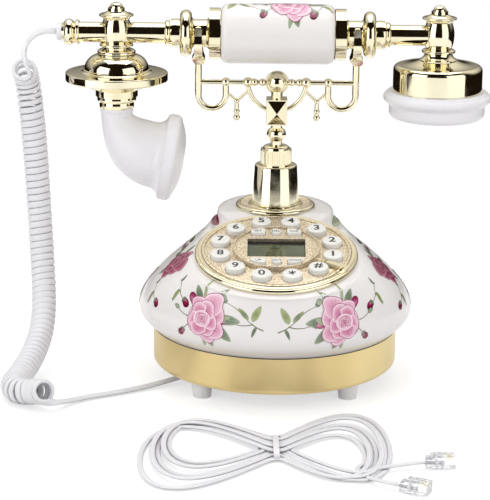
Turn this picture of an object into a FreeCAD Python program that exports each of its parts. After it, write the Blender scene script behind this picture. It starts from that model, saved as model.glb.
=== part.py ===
import FreeCAD, Part
import math
import os
import Sketcher
from FreeCAD import Placement, Rotation, Vector

# A table telephone in glazed ceramic and polished gold: a domed base with a push-button dial,
# a column with a sprung cradle, a two-armed handset, its curly cord and a spare line cord.
# Millimetres and degrees. Origin: centre of the base on the table, +Z up, the dial faces -Y.

SIZES = {
    # fits
    "fit_gap": 0.3,
    "slide_gap": 0.2,
    # feet, bottom plate and gold band
    "foot_height": 12.5,
    "foot_radius": 7,
    "foot_tip_radius": 5.5,
    "foot_clear": 0.9,
    "screw_radius": 1.5,
    "screw_head_radius": 2.8,
    "screw_head_height": 2,
    "screw_length": 9,
    "plate_thickness": 2.5,
    "boss_radius": 3.5,
    "boss_height": 6,
    "band_radius": 75.4,
    "band_wall": 1.6,
    "band_edge": 3,
    "band_lip": 5,
    "band_top": 34,
    # ceramic body
    "belly_radius": 84.2,
    "belly_height": 46.5,
    "body_top": 97,
    "shoulder_radius": 36.8,
    "shoulder_round": 2.2,
    "body_egg": 13,
    "body_lean": 2.3,
    "ceramic_wall": 4.5,
    # dial
    "dial_tilt": 12.5,
    "dial_y": -29,
    "dial_z": 84.5,
    "bezel_radius": 49.4,
    "bezel_width": 3.8,
    "bezel_height": 3.8,
    "bezel_edge": 0.6,
    "stop_width": 4.4,
    "stop_reach": 16.5,
    "stop_thickness": 1.6,
    "stop_angle": -30,
    "plate_ledge": 2.2,
    "plate_top": 3.4,
    "plate_wall": 1.6,
    "centre_radius": 26.5,
    "centre_rise": 2.2,
    "centre_ledge": 0.8,
    "rim_rise": 0.7,
    "centre_rim": 1.2,
    "key_circle": 35,
    "key_radius": 5.9,
    "key_rise": 3.5,
    "key_round": 0.9,
    "key_crown": 0.15,
    "key_flange": 1,
    "key_flange_height": 1.3,
    "key_travel": 1.2,
    "stem_radius": 3,
    "window_width": 35,
    "window_depth": 23,
    "window_glass": 1.2,
    "function_row": 18.9,
    "function_pitch": 11,
    "function_width": 8.6,
    "function_depth": 5.8,
    "function_radius": 3,
    "function_rise": 1.7,
    "function_flange": 0.5,
    "function_stem_radius": 1.6,
    "glass_lap": 2,
    "mat_thickness": 1,
    "board_thickness": 1.6,
    "post_circle": 39.5,
    "post_radius": 2,
    # ringer and hook switch
    "ringer_radius": 22,
    "ringer_can_radius": 14,
    "ringer_height": 12,
    "ringer_rim": 1.5,
    "ringer_x": 24,
    "ringer_y": -18,
    "switch_width": 15,
    "switch_depth": 13,
    "switch_wall": 2,
    "switch_floor": 4,
    # column
    "column_y": 45,
    "escutcheon_radius": 25.2,
    "escutcheon_height": 2.5,
    "escutcheon_edge": 0.6,
    "escutcheon_rim": 2.6,
    "cone_radius": 15.7,
    "cone_top_radius": 13.3,
    "cone_height": 25,
    "cone_bead": 1.3,
    "cone_bore": 8.6,
    "cone_roof": 3,
    "collar_radius": 9.75,
    "collar_height": 10,
    "collar_top_radius": 8.3,
    "collar_top_height": 2.2,
    "flute_count": 20,
    "flute_radius": 1.1,
    # cradle
    "stem_shaft_radius": 3.5,
    "stem_depth": 34,
    "shoulder_gap": 1.5,
    "spring_radius": 5.4,
    "spring_wire": 0.6,
    "spring_pitch": 2.6,
    "spring_length": 13,
    "ball_rise": 7.1,
    "ball_radius": 5.85,
    "block_rise": 6.6,
    "block_height": 16.2,
    "block_width": 13,
    "block_point": 4.2,
    "block_tip": 0.3,
    "block_edge": 0.7,
    "hub_rise": 10.1,
    "hub_radius": 6.35,
    "hub_ring_radius": 6.75,
    "hub_ring_wire": 0.75,
    "bar_radius": 1.5,
    "bar_bead": 0.9,
    "post_shift": 1.2,
    "post_wire": 2.05,
    "hook_radius": 8.6,
    "hook_drop": 8.2,
    "inner_ball_x": 18.2,
    "inner_ball_radius": 3.2,
    "outer_ball_radius": 2.85,
    "arc_wire": 1.4,
    "pendant_drop": 12,
    "pendant_wire": 0.95,
    "pendant_length": 10.5,
    "pendant_ball": 2.05,
    "fork_gap": 0.5,
    "fork_foot": 10.4,
    "fork_width": 5.2,
    "fork_bulb": 4,
    "fork_wall": 3.2,
    "fork_rise": 5.6,
    "fork_knob": 3.6,
    "fork_neck": 3.2,
    "fork_shoulder": 2,
    # handset
    "grip_clear": 4.7,
    "grip_radius": 18.5,
    "grip_length": 71,
    "grip_round": 5,
    "grip_bore": 9.8,
    "tie_radius": 3.5,
    "ring_radius": 15.9,
    "ring_length": 6.8,
    "waist_radius": 8.6,
    "waist_length": 11.2,
    "waist_fillet": 1.8,
    "flange_radius": 13.75,
    "flange_length": 7,
    "flange_bulge": 1.8,
    "collar_spigot": 6,
    "neck_radius": 8.5,
    "neck_length": 6,
    "bead_radius": 6.6,
    "bead_length": 3.5,
    "arm_radius": 6.3,
    "arm_reach": 100.5,
    "nut_radius": 8.3,
    "nut_length": 11,
    "nut_end": 134.5,
    "bush_radius": 5.2,
    "bush_length": 3,
    "barrel_radius": 7.9,
    "barrel_cap_radius": 10.8,
    "barrel_top": 9,
    "barrel_ring": 2.6,
    "knob_radius": 5.2,
    "knob_top": 18.7,
    "mouth_drop": 13.4,
    "mouth_foot_radius": 11.9,
    "dome_radius": 20.2,
    "dome_cove": 1.7,
    "disc_radius": 32,
    "disc_drop": 24.9,
    "disc_edge": 5.3,
    "disc_round": 0.8,
    "bell_bore": 4,
    "ferrule_radius": 13.2,
    "ferrule_drop": 36,
    "ferrule_tip_radius": 10.6,
    "ferrule_tip": 4.2,
    "ferrule_end": 47.5,
    "horn_collar": 4.5,
    "horn_neck": 2.1,
    "horn_radius": 9.8,
    "horn_wall": 2.2,
    "horn_edge": 0.9,
    "horn_mouth_radius": 20.8,
    "horn_rim_radius": 26.4,
    "horn_rim_length": 6.9,
    "horn_reach": 22.9,
    "horn_fall": 25.9,
    "horn_dip": 9,
    "mouth_cap_radius": 27.3,
    "mouth_cap_length": 6.6,
    "mouth_cap_dome": 5.3,
    "mouth_cap_round": 3.6,
    "sound_hole_radius": 1.1,
    "sound_hole_circle": 9,
    "sound_hole_depth": 20,
    "microphone_thickness": 4,
    "microphone_radius": 9,
    "microphone_lap": 0.6,
    "ear_drop": 15.5,
    "ear_foot_radius": 11.9,
    "shell_radius": 27.9,
    "shell_end": 34.6,
    "shell_wall": 1.4,
    "shell_round": 3.2,
    "shell_slope": 2.9,
    "ear_rim_radius": 34,
    "ear_cap_radius": 30,
    "ear_cap_end": 51.6,
    "ear_lip": 4,
    "ear_roll": 2.4,
    "ear_dish": 3,
    "ear_floor": 5.2,
    "receiver_radius": 23.6,
    # cords
    "curl_radius": 7.9,
    "cord_radius": 1.7,
    "hank_height": 9,
    "hank_y": -140,
    "hank_left": 79,
    "hank_right": 68,
    "hank_half": 50,
    "hank_corner": 28,
    "hank_waist": 11,
    "plug_length": 13,
    "plug_width": 9.7,
    "plug_height": 6.6,
    "sleeve_length": 3,
    "latch_width": 3.4,
    "latch_height": 1,
    "grommet_width": 9,
    "grommet_length": 12,
    "grommet_drop": 11,
    "jack_width": 14,
    "jack_height": 13,
    "jack_depth": 17,
    "socket_width": 10.2,
    "socket_height": 7,
    "socket_depth": 12,
}

# Bows of an outline's sides, as the height of the bow over its chord.
HALF = 0.49
QUARTER = 0.2071
DEEP = 0.36
ROUND = 0.178
SOFT = 0.12
BULGE = 0.1
SHALLOW = 0.085
FAINT = 0.06

doc = FreeCAD.newDocument("telephone")
sheet = doc.addObject("Spreadsheet::Sheet", "Sizes")
for row, (name, number) in enumerate(SIZES.items(), start=1):
    sheet.set(f"A{row}", name)
    sheet.set(f"B{row}", str(number))
    sheet.setAlias(f"B{row}", name)
doc.recompute()


class Size:
    """A length worked out from the sheet: its value now and the expression that keeps it bound."""

    def __init__(self, value, text):
        self.value = value
        self.text = text

    def __add__(self, other):
        other = size(other)
        return Size(self.value + other.value, f"({self.text} + {other.text})")

    def __sub__(self, other):
        other = size(other)
        return Size(self.value - other.value, f"({self.text} - {other.text})")

    def __mul__(self, other):
        other = size(other)
        return Size(self.value * other.value, f"({self.text} * {other.text})")

    def __truediv__(self, other):
        other = size(other)
        return Size(self.value / other.value, f"({self.text} / {other.text})")

    def __radd__(self, other):
        return size(other) + self

    def __rsub__(self, other):
        return size(other) - self

    def __rmul__(self, other):
        return size(other) * self

    def __neg__(self):
        return Size(-self.value, f"(0 - {self.text})")


def size(length):
    return length if isinstance(length, Size) else Size(float(length), f"{float(length):.6f}")


def cosine(angle):
    return Size(math.cos(math.radians(angle.value)), f"cos({angle.text})")


def sine(angle):
    return Size(math.sin(math.radians(angle.value)), f"sin({angle.text})")


def distance(a, b):
    value = math.hypot(b[0].value - a[0].value, b[1].value - a[1].value)
    text = f"sqrt(({b[0].text} - {a[0].text})^2 + ({b[1].text} - {a[1].text})^2)"
    return Size(value, text)


class Sheet:
    """Reads a size from the sheet by its alias."""

    def __getattr__(self, alias):
        return Size(float(sheet.get(alias)), f"Sizes.{alias}")


s = Sheet()
nodes = []


def bind(item, path, length):
    if isinstance(length, Size) and "Sizes." in length.text:
        item.setExpression(path, length.text)
    return item


def shape(kind, name, **sizes):
    """A Part primitive whose sizes follow the sheet."""
    item = doc.addObject(kind, name)
    for prop, length in sizes.items():
        setattr(item, prop, size(length).value)
        bind(item, prop, length)
    return item


def seat(item, x=0, y=0, z=0, axis=None, angle=0):
    """Puts an item at a place that follows the sheet, turned about an axis."""
    turn = Rotation(Vector(*axis), size(angle).value) if axis else Rotation()
    item.Placement = Placement(Vector(size(x).value, size(y).value, size(z).value), turn)
    for letter, length in zip("xyz", (x, y, z)):
        bind(item, f"Placement.Base.{letter}", length)
    bind(item, "Placement.Rotation.Angle", angle)
    return item


def on_dial(item, across=0, up=0):
    """Puts an item made in the dial's own frame onto the tilted seat of the dial."""
    y = s.dial_y + cosine(s.dial_tilt) * up
    z = s.dial_z + sine(s.dial_tilt) * up
    return seat(item, across, y, z, (1, 0, 0), s.dial_tilt)


def node(item):
    nodes.append(item)
    return item


def joined(kind, name, items):
    """A fused or grouped item made from several others."""
    item = doc.addObject(kind, name)
    setattr(item, "Links" if kind == "Part::Compound" else "Shapes", items)
    return item


def cut(name, base, tools):
    item = doc.addObject("Part::Cut", name)
    item.Base = base
    item.Tool = tools[0] if len(tools) == 1 else joined("Part::Compound", name + "_tools", tools)
    return item


def plane(body, role):
    return next(feature for feature in body.Origin.OriginFeatures if feature.Role == role)


def pin_corner(sketch, geometry, end, corner):
    """Holds a corner of an outline at its place from the sketch's origin."""
    kinds = ("DistanceX", "DistanceY")
    lines = (-2, -1)
    for kind, line, length in zip(kinds, lines, corner):
        if abs(length.value) < 1e-9:
            sketch.addConstraint(Sketcher.Constraint("PointOnObject", geometry, end, line))
            continue
        index = sketch.addConstraint(Sketcher.Constraint(kind, -1, 1, geometry, end, length.value))
        bind(sketch, f"Constraints[{index}]", length)


def draw_circle(sketch, radius):
    circle = sketch.addGeometry(Part.Circle(Vector(), Vector(0, 0, 1), radius.value))
    sketch.addConstraint(Sketcher.Constraint("Coincident", circle, 3, -1, 1))
    index = sketch.addConstraint(Sketcher.Constraint("Radius", circle, radius.value))
    bind(sketch, f"Constraints[{index}]", radius)


def draw(sketch, outline):
    """Draws a closed outline. A corner is (x, y), or (x, y, bow) where the side that arrives
    there bows to its right by that share of its chord, or to its left where it is negative.
    A lone size is the radius of a circle about the origin."""
    if isinstance(outline, Size):
        draw_circle(sketch, outline)
        return
    corners = [(size(corner[0]), size(corner[1])) for corner in outline]
    starts = []
    ends = []
    for index, corner in enumerate(outline):
        a, b = corners[index - 1], corners[index]
        start = Vector(a[0].value, a[1].value, 0)
        end = Vector(b[0].value, b[1].value, 0)
        if len(corner) == 2:
            geometry = sketch.addGeometry(Part.LineSegment(start, end))
            ids = (1, 2)
        else:
            bow = corner[2]
            chord = end - start
            middle = (start + end) * 0.5 + Vector(chord.y, -chord.x, 0) * bow
            geometry = sketch.addGeometry(Part.Arc(start, middle, end))
            near = sketch.getPoint(geometry, 1).distanceToPoint(start) < 1e-6
            ids = (1, 2) if near else (2, 1)
            radius = distance(a, b) * (0.125 / abs(bow) + abs(bow) / 2)
            index = sketch.addConstraint(Sketcher.Constraint("Radius", geometry, radius.value))
            bind(sketch, f"Constraints[{index}]", radius)
        starts.append((geometry, ids[0]))
        ends.append((geometry, ids[1]))
    for index, corner in enumerate(corners):
        follow = starts[(index + 1) % len(corners)]
        sketch.addConstraint(Sketcher.Constraint("Coincident", *ends[index], *follow))
        pin_corner(sketch, *ends[index], corner)


def new_sketch(body, role, name):
    sketch = body.newObject("Sketcher::SketchObject", name)
    sketch.AttachmentSupport = [(plane(body, role), "")]
    sketch.MapMode = "FlatFace"
    return sketch


def turned(name, outline):
    """A lathe piece: an outline of (radius, height) corners turned about its own Z axis."""
    body = doc.addObject("PartDesign::Body", name)
    sketch = new_sketch(body, "XZ_Plane", name + "_profile")
    draw(sketch, outline)
    turn = body.newObject("PartDesign::Revolution", name + "_turn")
    turn.Profile = sketch
    turn.ReferenceAxis = (sketch, ["V_Axis"])
    turn.Angle = 360
    return body


def padded(name, layers):
    """A piece of flat layers: each is an outline in XY, the height of its foot and its thickness."""
    body = doc.addObject("PartDesign::Body", name)
    for count, (outline, foot, thickness) in enumerate(layers):
        sketch = new_sketch(body, "XY_Plane", f"{name}_outline_{count}")
        sketch.AttachmentOffset = Placement(Vector(0, 0, size(foot).value), Rotation())
        bind(sketch, "AttachmentOffset.Base.z", foot)
        draw(sketch, outline)
        pad = body.newObject("PartDesign::Pad", f"{name}_pad_{count}")
        pad.Profile = sketch
        pad.Length = size(thickness).value
        bind(pad, "Length", thickness)
    return body


def rectangle(width, depth):
    x, y = size(width) / 2, size(depth) / 2
    return [(-x, -y), (x, -y), (x, y), (-x, y)]


def along_x(item, x, z=0, flip=False):
    """Lays a lathe piece along X in the handset's plane: its foot at x, its top towards +X or -X."""
    return seat(item, x, s.column_y, z, (0, 1, 0), -90 if flip else 90)


# Heights that several pieces share.
lip_top = s.foot_height
floor_top = s.foot_height + s.plate_thickness
band_bottom = s.foot_height - s.band_wall
column_foot = s.body_top + s.escutcheon_height
cone_top = column_foot + s.cone_height
collar_top = cone_top + s.collar_height
plate_radius = s.bezel_radius - s.bezel_width - s.fit_gap
opening_radius = plate_radius - s.plate_ledge
plate_under = s.plate_top - s.plate_wall
centre_top = s.plate_top + s.centre_rise
key_stem_end = -1.5
mat_top = key_stem_end - s.key_travel - s.fit_gap
board_top = mat_top - s.mat_thickness
foot_spread = (s.band_radius - s.band_lip - s.foot_radius - s.foot_clear) * math.sqrt(0.5)
foot_corners = [(foot_spread * i, foot_spread * j) for i in (-1, 1) for j in (-1, 1)]
ball_height = collar_top + s.collar_top_height + s.ball_rise
block_bottom = ball_height + s.block_rise
hub_height = block_bottom + s.block_height + s.hub_rise
handset_height = hub_height + s.hub_ring_radius + s.hub_ring_wire + s.grip_clear + s.grip_radius


def make_feet():
    """Four conical feet, each held by a screw in a counterbore."""
    feet = []
    screws = []
    head_foot = s.foot_height / 2
    for index, (x, y) in enumerate(foot_corners):
        cone = shape("Part::Cone", f"foot_cone_{index}", Radius1=s.foot_tip_radius,
                     Radius2=s.foot_radius, Height=s.foot_height)
        well = shape("Part::Cylinder", f"foot_well_{index}", Radius=s.screw_head_radius + s.fit_gap,
                     Height=head_foot + s.screw_head_height)
        hole = shape("Part::Cylinder", f"foot_hole_{index}", Radius=s.screw_radius + s.slide_gap / 2,
                     Height=s.foot_height)
        feet.append(seat(cut(f"foot_{index}", cone, [well, hole]), x, y))
        head = shape("Part::Cylinder", f"screw_head_{index}", Radius=s.screw_head_radius,
                     Height=s.screw_head_height)
        shank = shape("Part::Cylinder", f"screw_shank_{index}", Radius=s.screw_radius,
                      Height=s.screw_length)
        seat(head, x, y, head_foot)
        seat(shank, x, y, head_foot + s.screw_head_height)
        screws.append(joined("Part::MultiFuse", f"screw_{index}", [head, shank]))
    node(joined("Part::Compound", "feet", feet))
    node(joined("Part::Compound", "bottom_screws", screws))


def make_bottom_plate():
    """The white floor of the base: it lies on the band's lip and has a screw boss over each foot."""
    radius = s.band_radius - s.band_edge - s.fit_gap
    slab = turned("bottom_slab", [(0, lip_top), (radius, lip_top), (radius, floor_top), (0, floor_top)])
    pieces = [slab]
    holes = []
    for index, (x, y) in enumerate(foot_corners):
        boss = shape("Part::Cylinder", f"plate_boss_{index}", Radius=s.boss_radius, Height=s.boss_height)
        hole = shape("Part::Cylinder", f"plate_hole_{index}", Radius=s.screw_radius + s.slide_gap / 2,
                     Height=s.screw_length)
        pieces.append(seat(boss, x, y, lip_top))
        holes.append(seat(hole, x, y, lip_top - s.foot_height / 2 + s.screw_head_height + s.fit_gap))
    node(cut("bottom_plate", joined("Part::MultiFuse", "bottom_plate_solid", pieces), holes))


def make_band():
    """The brushed gold band, with a lip under the floor, a ledge under the ceramic and a window
    at the back for the line jack."""
    r = s.band_radius
    inside = r - s.band_wall
    ledge = r - s.ceramic_wall
    ring = turned("band_ring", [
        (r - s.band_lip, band_bottom), (r - s.band_edge, band_bottom),
        (r, band_bottom + s.band_edge, QUARTER), (r, s.band_top), (ledge, s.band_top),
        (ledge, s.band_top - s.band_wall), (inside, s.band_top - s.band_wall),
        (inside, lip_top + s.band_wall), (inside - s.band_wall, lip_top), (r - s.band_lip, lip_top)])
    window = shape("Part::Box", "jack_window", Length=s.jack_width + s.fit_gap * 2,
                   Width=s.band_wall * 4, Height=s.jack_height + s.fit_gap * 2)
    seat(window, -s.jack_width / 2 - s.fit_gap, r - s.band_wall * 3, floor_top - s.fit_gap)
    node(cut("base_band", ring, [window]))


def make_line_jack():
    """A four-way line socket that stands on the floor and shows in the band's window."""
    back = s.band_radius - s.band_wall / 2
    block = shape("Part::Box", "jack_block", Length=s.jack_width, Width=s.jack_depth, Height=s.jack_height)
    seat(block, -s.jack_width / 2, back - s.jack_depth, floor_top)
    socket = shape("Part::Box", "jack_socket", Length=s.socket_width, Width=s.socket_depth,
                   Height=s.socket_height)
    seat(socket, -s.socket_width / 2, back - s.socket_depth, floor_top + s.jack_height / 4)
    groove = shape("Part::Box", "jack_groove", Length=s.socket_width / 3, Width=s.socket_depth,
                   Height=s.socket_height)
    seat(groove, -s.socket_width / 6, back - s.socket_depth, floor_top + s.jack_height / 8)
    node(cut("line_jack", block, [socket, groove]))


SECTION_POINTS = 24
BELLY_STEPS = (0, 0.5)
RISE_STEPS = (0, 0.2, 0.4, 0.6, 0.75, 0.87, 0.95, 1)
BROW_TURNS = (35, 65, 90)


def body_section(z, half_width, egg, front, back):
    """One level outline of the body: wider before its middle than behind it."""
    middle = (back - front) / 2
    half_length = (back + front) / 2
    points = []
    for step in range(SECTION_POINTS):
        turn = 2 * math.pi * step / SECTION_POINTS
        x = (half_width - egg * math.sin(turn)) * math.cos(turn)
        points.append(Vector(x, middle + half_length * math.sin(turn), z))
    curve = Part.BSplineCurve()
    curve.interpolate(points, PeriodicFlag=True)
    return Part.Wire(curve.toShape())


def body_form(inset, bottom, top):
    """The body's form, set in from its outside: a bulged foot, a belly, a dome that narrows to the
    shoulder under the column, with its back and front walls close to upright."""
    belly = s.belly_radius.value
    sections = []
    for step in BELLY_STEPS:
        foot = s.band_radius.value
        radius = foot + (belly - foot) * math.sin(step * math.pi / 2) - inset
        height = bottom + (s.belly_height.value - bottom) * step
        sections.append(body_section(height, radius, 0, radius, radius))
    rounding = s.shoulder_round.value
    brow = top - rounding
    for step in RISE_STEPS:
        half_width = belly - (belly - s.shoulder_radius.value) * step ** 1.75 - inset
        egg = s.body_egg.value * step * (1 - step ** 6)
        lean = s.body_lean.value * step
        front = belly - lean - (belly - s.body_lean.value) * step ** 14 - inset
        back = belly - lean - inset
        height = s.belly_height.value + (brow - s.belly_height.value) * step
        sections.append(body_section(height, half_width, egg, front, back))
    for turn in BROW_TURNS:
        rise = rounding * math.sin(math.radians(turn))
        shrink = rounding * (1 - math.cos(math.radians(turn)))
        sections.append(body_section(brow + rise, half_width - shrink, 0, front - shrink, back - shrink))
    return Part.makeLoft(sections, True, False)


def dial_place(rise=0):
    tilt = Rotation(Vector(1, 0, 0), s.dial_tilt.value)
    seat_centre = Vector(0, s.dial_y.value, s.dial_z.value)
    return Placement(seat_centre + tilt.multVec(Vector(0, 0, rise)), tilt)


def above_dial(rise):
    """Everything over the dial's plane, moved along its normal, as far as the body reaches."""
    reach = 3 * s.belly_radius.value
    block = Part.makeBox(reach, reach, reach, Vector(-reach / 2, -reach / 2, 0))
    block.Placement = dial_place(rise)
    return block


def make_ceramic_body():
    """The glazed shell: the form with the dial's seat cut flat, a hollow, and two holes."""
    wall = s.ceramic_wall.value
    bottom = s.band_top.value
    top = s.body_top.value
    form = body_form(0, bottom, top)
    form = form.cut(above_dial(0))
    hollow = body_form(wall, bottom - 1, top - wall).cut(above_dial(-wall))
    mouth = Part.makeCylinder(opening_radius.value, 4 * wall, Vector(0, 0, -2 * wall))
    mouth.Placement = dial_place()
    hole = Part.makeCylinder((s.stem_shaft_radius + s.fit_gap).value, 3 * wall)
    hole.translate(Vector(0, s.column_y.value, top - 2 * wall))
    body = doc.addObject("Part::Feature", "ceramic_body")
    body.Shape = form.cut(hollow).cut(mouth).cut(hole).removeSplitter()
    body.Placement = Placement()
    node(body)


def make_bezel():
    """The stepped gold rim of the dial, with the dummy finger stop that reaches over the plate."""
    r = s.bezel_radius
    height = s.bezel_height
    inner = r - s.bezel_width
    step = r - s.bezel_width / 2
    ring = turned("bezel_ring", [
        (inner, 0), (r - s.bezel_edge, 0), (r, height * 0.4, SOFT),
        (step + s.slide_gap, height * 0.75, QUARTER), (step, height), (inner, height, FAINT)])
    half = s.stop_width / 2
    tip = inner - s.stop_reach
    heel = inner + s.fit_gap
    under = s.plate_top + s.rim_rise + s.fit_gap
    stop = padded("finger_stop", [
        ([(heel, -half), (step, -half), (step, half), (heel, half)], height / 2, under - height / 2),
        ([(tip, -half * 0.6, HALF), (step, -half), (step, half), (tip, half * 0.6)],
         under, s.stop_thickness)])
    seat(stop, axis=(0, 0, 1), angle=s.stop_angle)
    node(on_dial(joined("Part::MultiFuse", "dial_bezel", [ring, stop])))


def make_dial_plate():
    """The raised gold plate: a skirt on the ceramic, key holes and posts that carry the board."""
    inner = s.centre_radius - s.centre_ledge
    under = plate_under
    top = s.plate_top
    rim = top + s.rim_rise
    skirt = plate_radius - s.plate_wall
    pan = turned("plate_pan", [
        (skirt, 0), (plate_radius, 0), (plate_radius, rim), (skirt, rim, SOFT), (skirt, top),
        (inner, top), (inner, under), (skirt, under)])
    pieces = [pan]
    holes = []
    for index, (x, y) in enumerate(post_places()):
        post = shape("Part::Cylinder", f"board_post_{index}", Radius=s.post_radius,
                     Height=under - board_top)
        pieces.append(seat(post, x, y, board_top))
    for index in range(KEY_COUNT):
        hole = shape("Part::Cylinder", f"key_hole_{index}", Radius=s.key_radius + s.fit_gap,
                     Height=s.plate_top)
        x, y = key_place(index)
        holes.append(seat(hole, x, y, under - s.plate_wall / 2))
    solid = joined("Part::MultiFuse", "dial_plate_solid", pieces)
    node(on_dial(cut("dial_plate", solid, holes)))


KEY_NAMES = ("1", "2", "3", "4", "5", "6", "7", "8", "9", "0", "star", "hash")
KEY_COUNT = len(KEY_NAMES)
FIRST_KEY_ANGLE = -15


def key_place(index):
    turn = math.radians(FIRST_KEY_ANGLE + index * 360 / KEY_COUNT)
    return s.key_circle * math.cos(turn), s.key_circle * math.sin(turn)


def post_places():
    """The four posts under the plate, between the keys."""
    return [(s.post_circle * x, s.post_circle * y) for x, y in ((1, 0), (0, 1), (-1, 0), (0, -1))]


def make_number_keys():
    """Twelve round keys: a domed cap, a flange that stays under the plate and a plunger."""
    flange = s.key_radius + s.key_flange
    flange_top = plate_under - s.slide_gap
    flange_foot = flange_top - s.key_flange_height
    crown = s.plate_top + s.key_rise
    for index, name in enumerate(KEY_NAMES):
        key = turned("key_" + name, [
            (0, key_stem_end), (s.stem_radius, key_stem_end), (s.stem_radius, flange_foot),
            (flange, flange_foot), (flange, flange_top), (s.key_radius, flange_top),
            (s.key_radius, crown - s.key_round), (s.key_radius - s.key_round, crown - s.key_crown, QUARTER),
            (s.key_round, crown, FAINT / 2), (0, crown)])
        x, y = key_place(index)
        node(on_dial(key, x, y))


def wing_outline(side, grow):
    """An outer function key: its outer far corner is cut off to follow the round of the plate."""
    x, y = s.function_width / 2 + grow, s.function_depth / 2 + grow
    slant = s.function_width / 2
    outline = [(-x, -y), (x, -y), (x, y - slant * 0.6), (x - slant, y), (-x, y)]
    return outline if side > 0 else [(-px, py) for px, py in reversed(outline)]


def function_outline(column, row, grow):
    """A function key's outline about its own centre, grown for its hole or its flange."""
    if column == 0:
        return s.function_radius + grow
    outline = wing_outline(column, grow)
    return outline if row > 0 else [(px, -py) for px, py in reversed(outline)]


FUNCTION_NAMES = {
    (-1, 1): "function_upper_left", (0, 1): "function_upper_middle", (1, 1): "function_upper_right",
    (-1, -1): "function_lower_left", (0, -1): "function_lower_middle", (1, -1): "function_lower_right"}


def make_function_keys():
    """Six small keys in two rows, above and below the display."""
    flange_top = s.plate_top - s.slide_gap
    flange_foot = flange_top - s.key_flange_height
    crown = centre_top + s.function_rise
    for (column, row), name in FUNCTION_NAMES.items():
        key = padded(name, [
            (s.function_stem_radius, key_stem_end, flange_foot - key_stem_end),
            (function_outline(column, row, s.function_flange), flange_foot, s.key_flange_height),
            (function_outline(column, row, 0), flange_top, crown - flange_top)])
        node(on_dial(key, s.function_pitch * column, s.function_row * row))


def make_centre_plate():
    """The raised middle of the dial, with the display's window and the holes of the small keys."""
    r = s.centre_radius
    foot = s.plate_top
    rim = centre_top + s.rim_rise
    solid = turned("centre_disc", [
        (0, foot), (r, foot), (r, rim), (r - s.centre_rim, rim, DEEP), (r - s.centre_rim, centre_top),
        (0, centre_top)])
    deep = s.centre_rise * 3
    below = foot - s.centre_rise
    window = padded("centre_window", [(rectangle(s.window_width, s.window_depth), below, deep)])
    tools = [window]
    for (column, row), name in FUNCTION_NAMES.items():
        hole = padded(name + "_hole", [(function_outline(column, row, s.fit_gap), below, deep)])
        tools.append(seat(hole, s.function_pitch * column, s.function_row * row))
    node(on_dial(cut("dial_centre_plate", solid, tools)))


def make_display():
    """The clear window under the centre plate, the display below it, the key mat and its board."""
    glass_foot = s.plate_top - s.window_glass
    lap = s.glass_lap
    node(on_dial(padded("lcd_window", [
        (rectangle(s.window_width + lap, s.window_depth + lap), glass_foot, s.window_glass)])))
    node(on_dial(padded("lcd_panel", [
        (rectangle(s.window_width + lap / 2, s.window_depth + lap / 2), mat_top, glass_foot - mat_top)])))
    radius = opening_radius - s.fit_gap * 2
    mat = turned("mat_disc", [(0, board_top), (radius, board_top), (radius, mat_top), (0, mat_top)])
    holes = []
    for index, (x, y) in enumerate(post_places()):
        hole = shape("Part::Cylinder", f"mat_hole_{index}", Radius=s.post_radius + s.fit_gap,
                     Height=s.mat_thickness * 3)
        holes.append(seat(hole, x, y, board_top - s.mat_thickness))
    node(on_dial(cut("key_mat", mat, holes)))
    board_foot = board_top - s.board_thickness
    node(on_dial(turned("keypad_board", [
        (0, board_foot), (radius, board_foot), (radius, board_top), (0, board_top)])))


def make_ringer():
    """The ringer's sounder, standing on the floor."""
    can, cone = s.ringer_can_radius, s.ringer_radius
    height = s.ringer_height
    top = height + s.ringer_rim
    ringer = turned("ringer", [
        (0, 0), (can, 0), (can, height * 0.6), (cone, height), (cone, top), (cone - s.ringer_rim, top),
        (can / 2, height * 0.8, -SOFT), (s.ringer_rim, height * 0.8 + s.ringer_rim, SOFT),
        (0, height * 0.8 + s.ringer_rim)])
    node(seat(ringer, s.ringer_x, s.ringer_y, floor_top))


def make_column():
    """The column on the shoulder: a rimmed escutcheon, a tapered cone and a fluted guide collar."""
    r = s.escutcheon_radius
    rise = s.escutcheon_height
    hole = s.stem_shaft_radius + s.fit_gap
    floor = rise * 0.75
    node(seat(turned("escutcheon", [
        (hole, 0), (r - s.escutcheon_edge, 0), (r, rise * 0.4, SOFT), (r - s.escutcheon_rim, rise, QUARTER),
        (r - s.escutcheon_rim - s.escutcheon_edge, floor), (s.cone_radius + s.escutcheon_edge * 2, floor),
        (s.cone_radius + s.escutcheon_edge, rise), (hole, rise)]), 0, s.column_y, s.body_top))
    roof = s.cone_height - s.cone_roof
    bead = s.cone_bead
    node(seat(turned("column_cone", [
        (s.cone_bore, 0), (s.cone_radius, 0), (s.cone_radius, bead, DEEP), (s.cone_radius - bead / 2, bead),
        (s.cone_top_radius, s.cone_height - bead), (s.cone_top_radius - bead, s.cone_height, QUARTER),
        (hole, s.cone_height), (hole, roof), (s.cone_bore, roof)]), 0, s.column_y, column_foot))
    top = s.collar_height
    collar = turned("collar_blank", [
        (hole, 0), (s.collar_radius, 0), (s.collar_radius, top), (s.collar_top_radius, top),
        (s.collar_top_radius - 2.2, top + s.collar_top_height, QUARTER), (hole, top + s.collar_top_height)])
    flutes = []
    for index in range(int(s.flute_count.value)):
        turn = 2 * math.pi * index / s.flute_count.value
        flute = shape("Part::Cylinder", f"flute_{index}", Radius=s.flute_radius, Height=top - 2)
        ring = s.collar_radius + s.flute_radius * 0.45
        flutes.append(seat(flute, ring * math.cos(turn), ring * math.sin(turn), 1))
    node(seat(cut("fluted_collar", collar, flutes), 0, s.column_y, cone_top))


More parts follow.
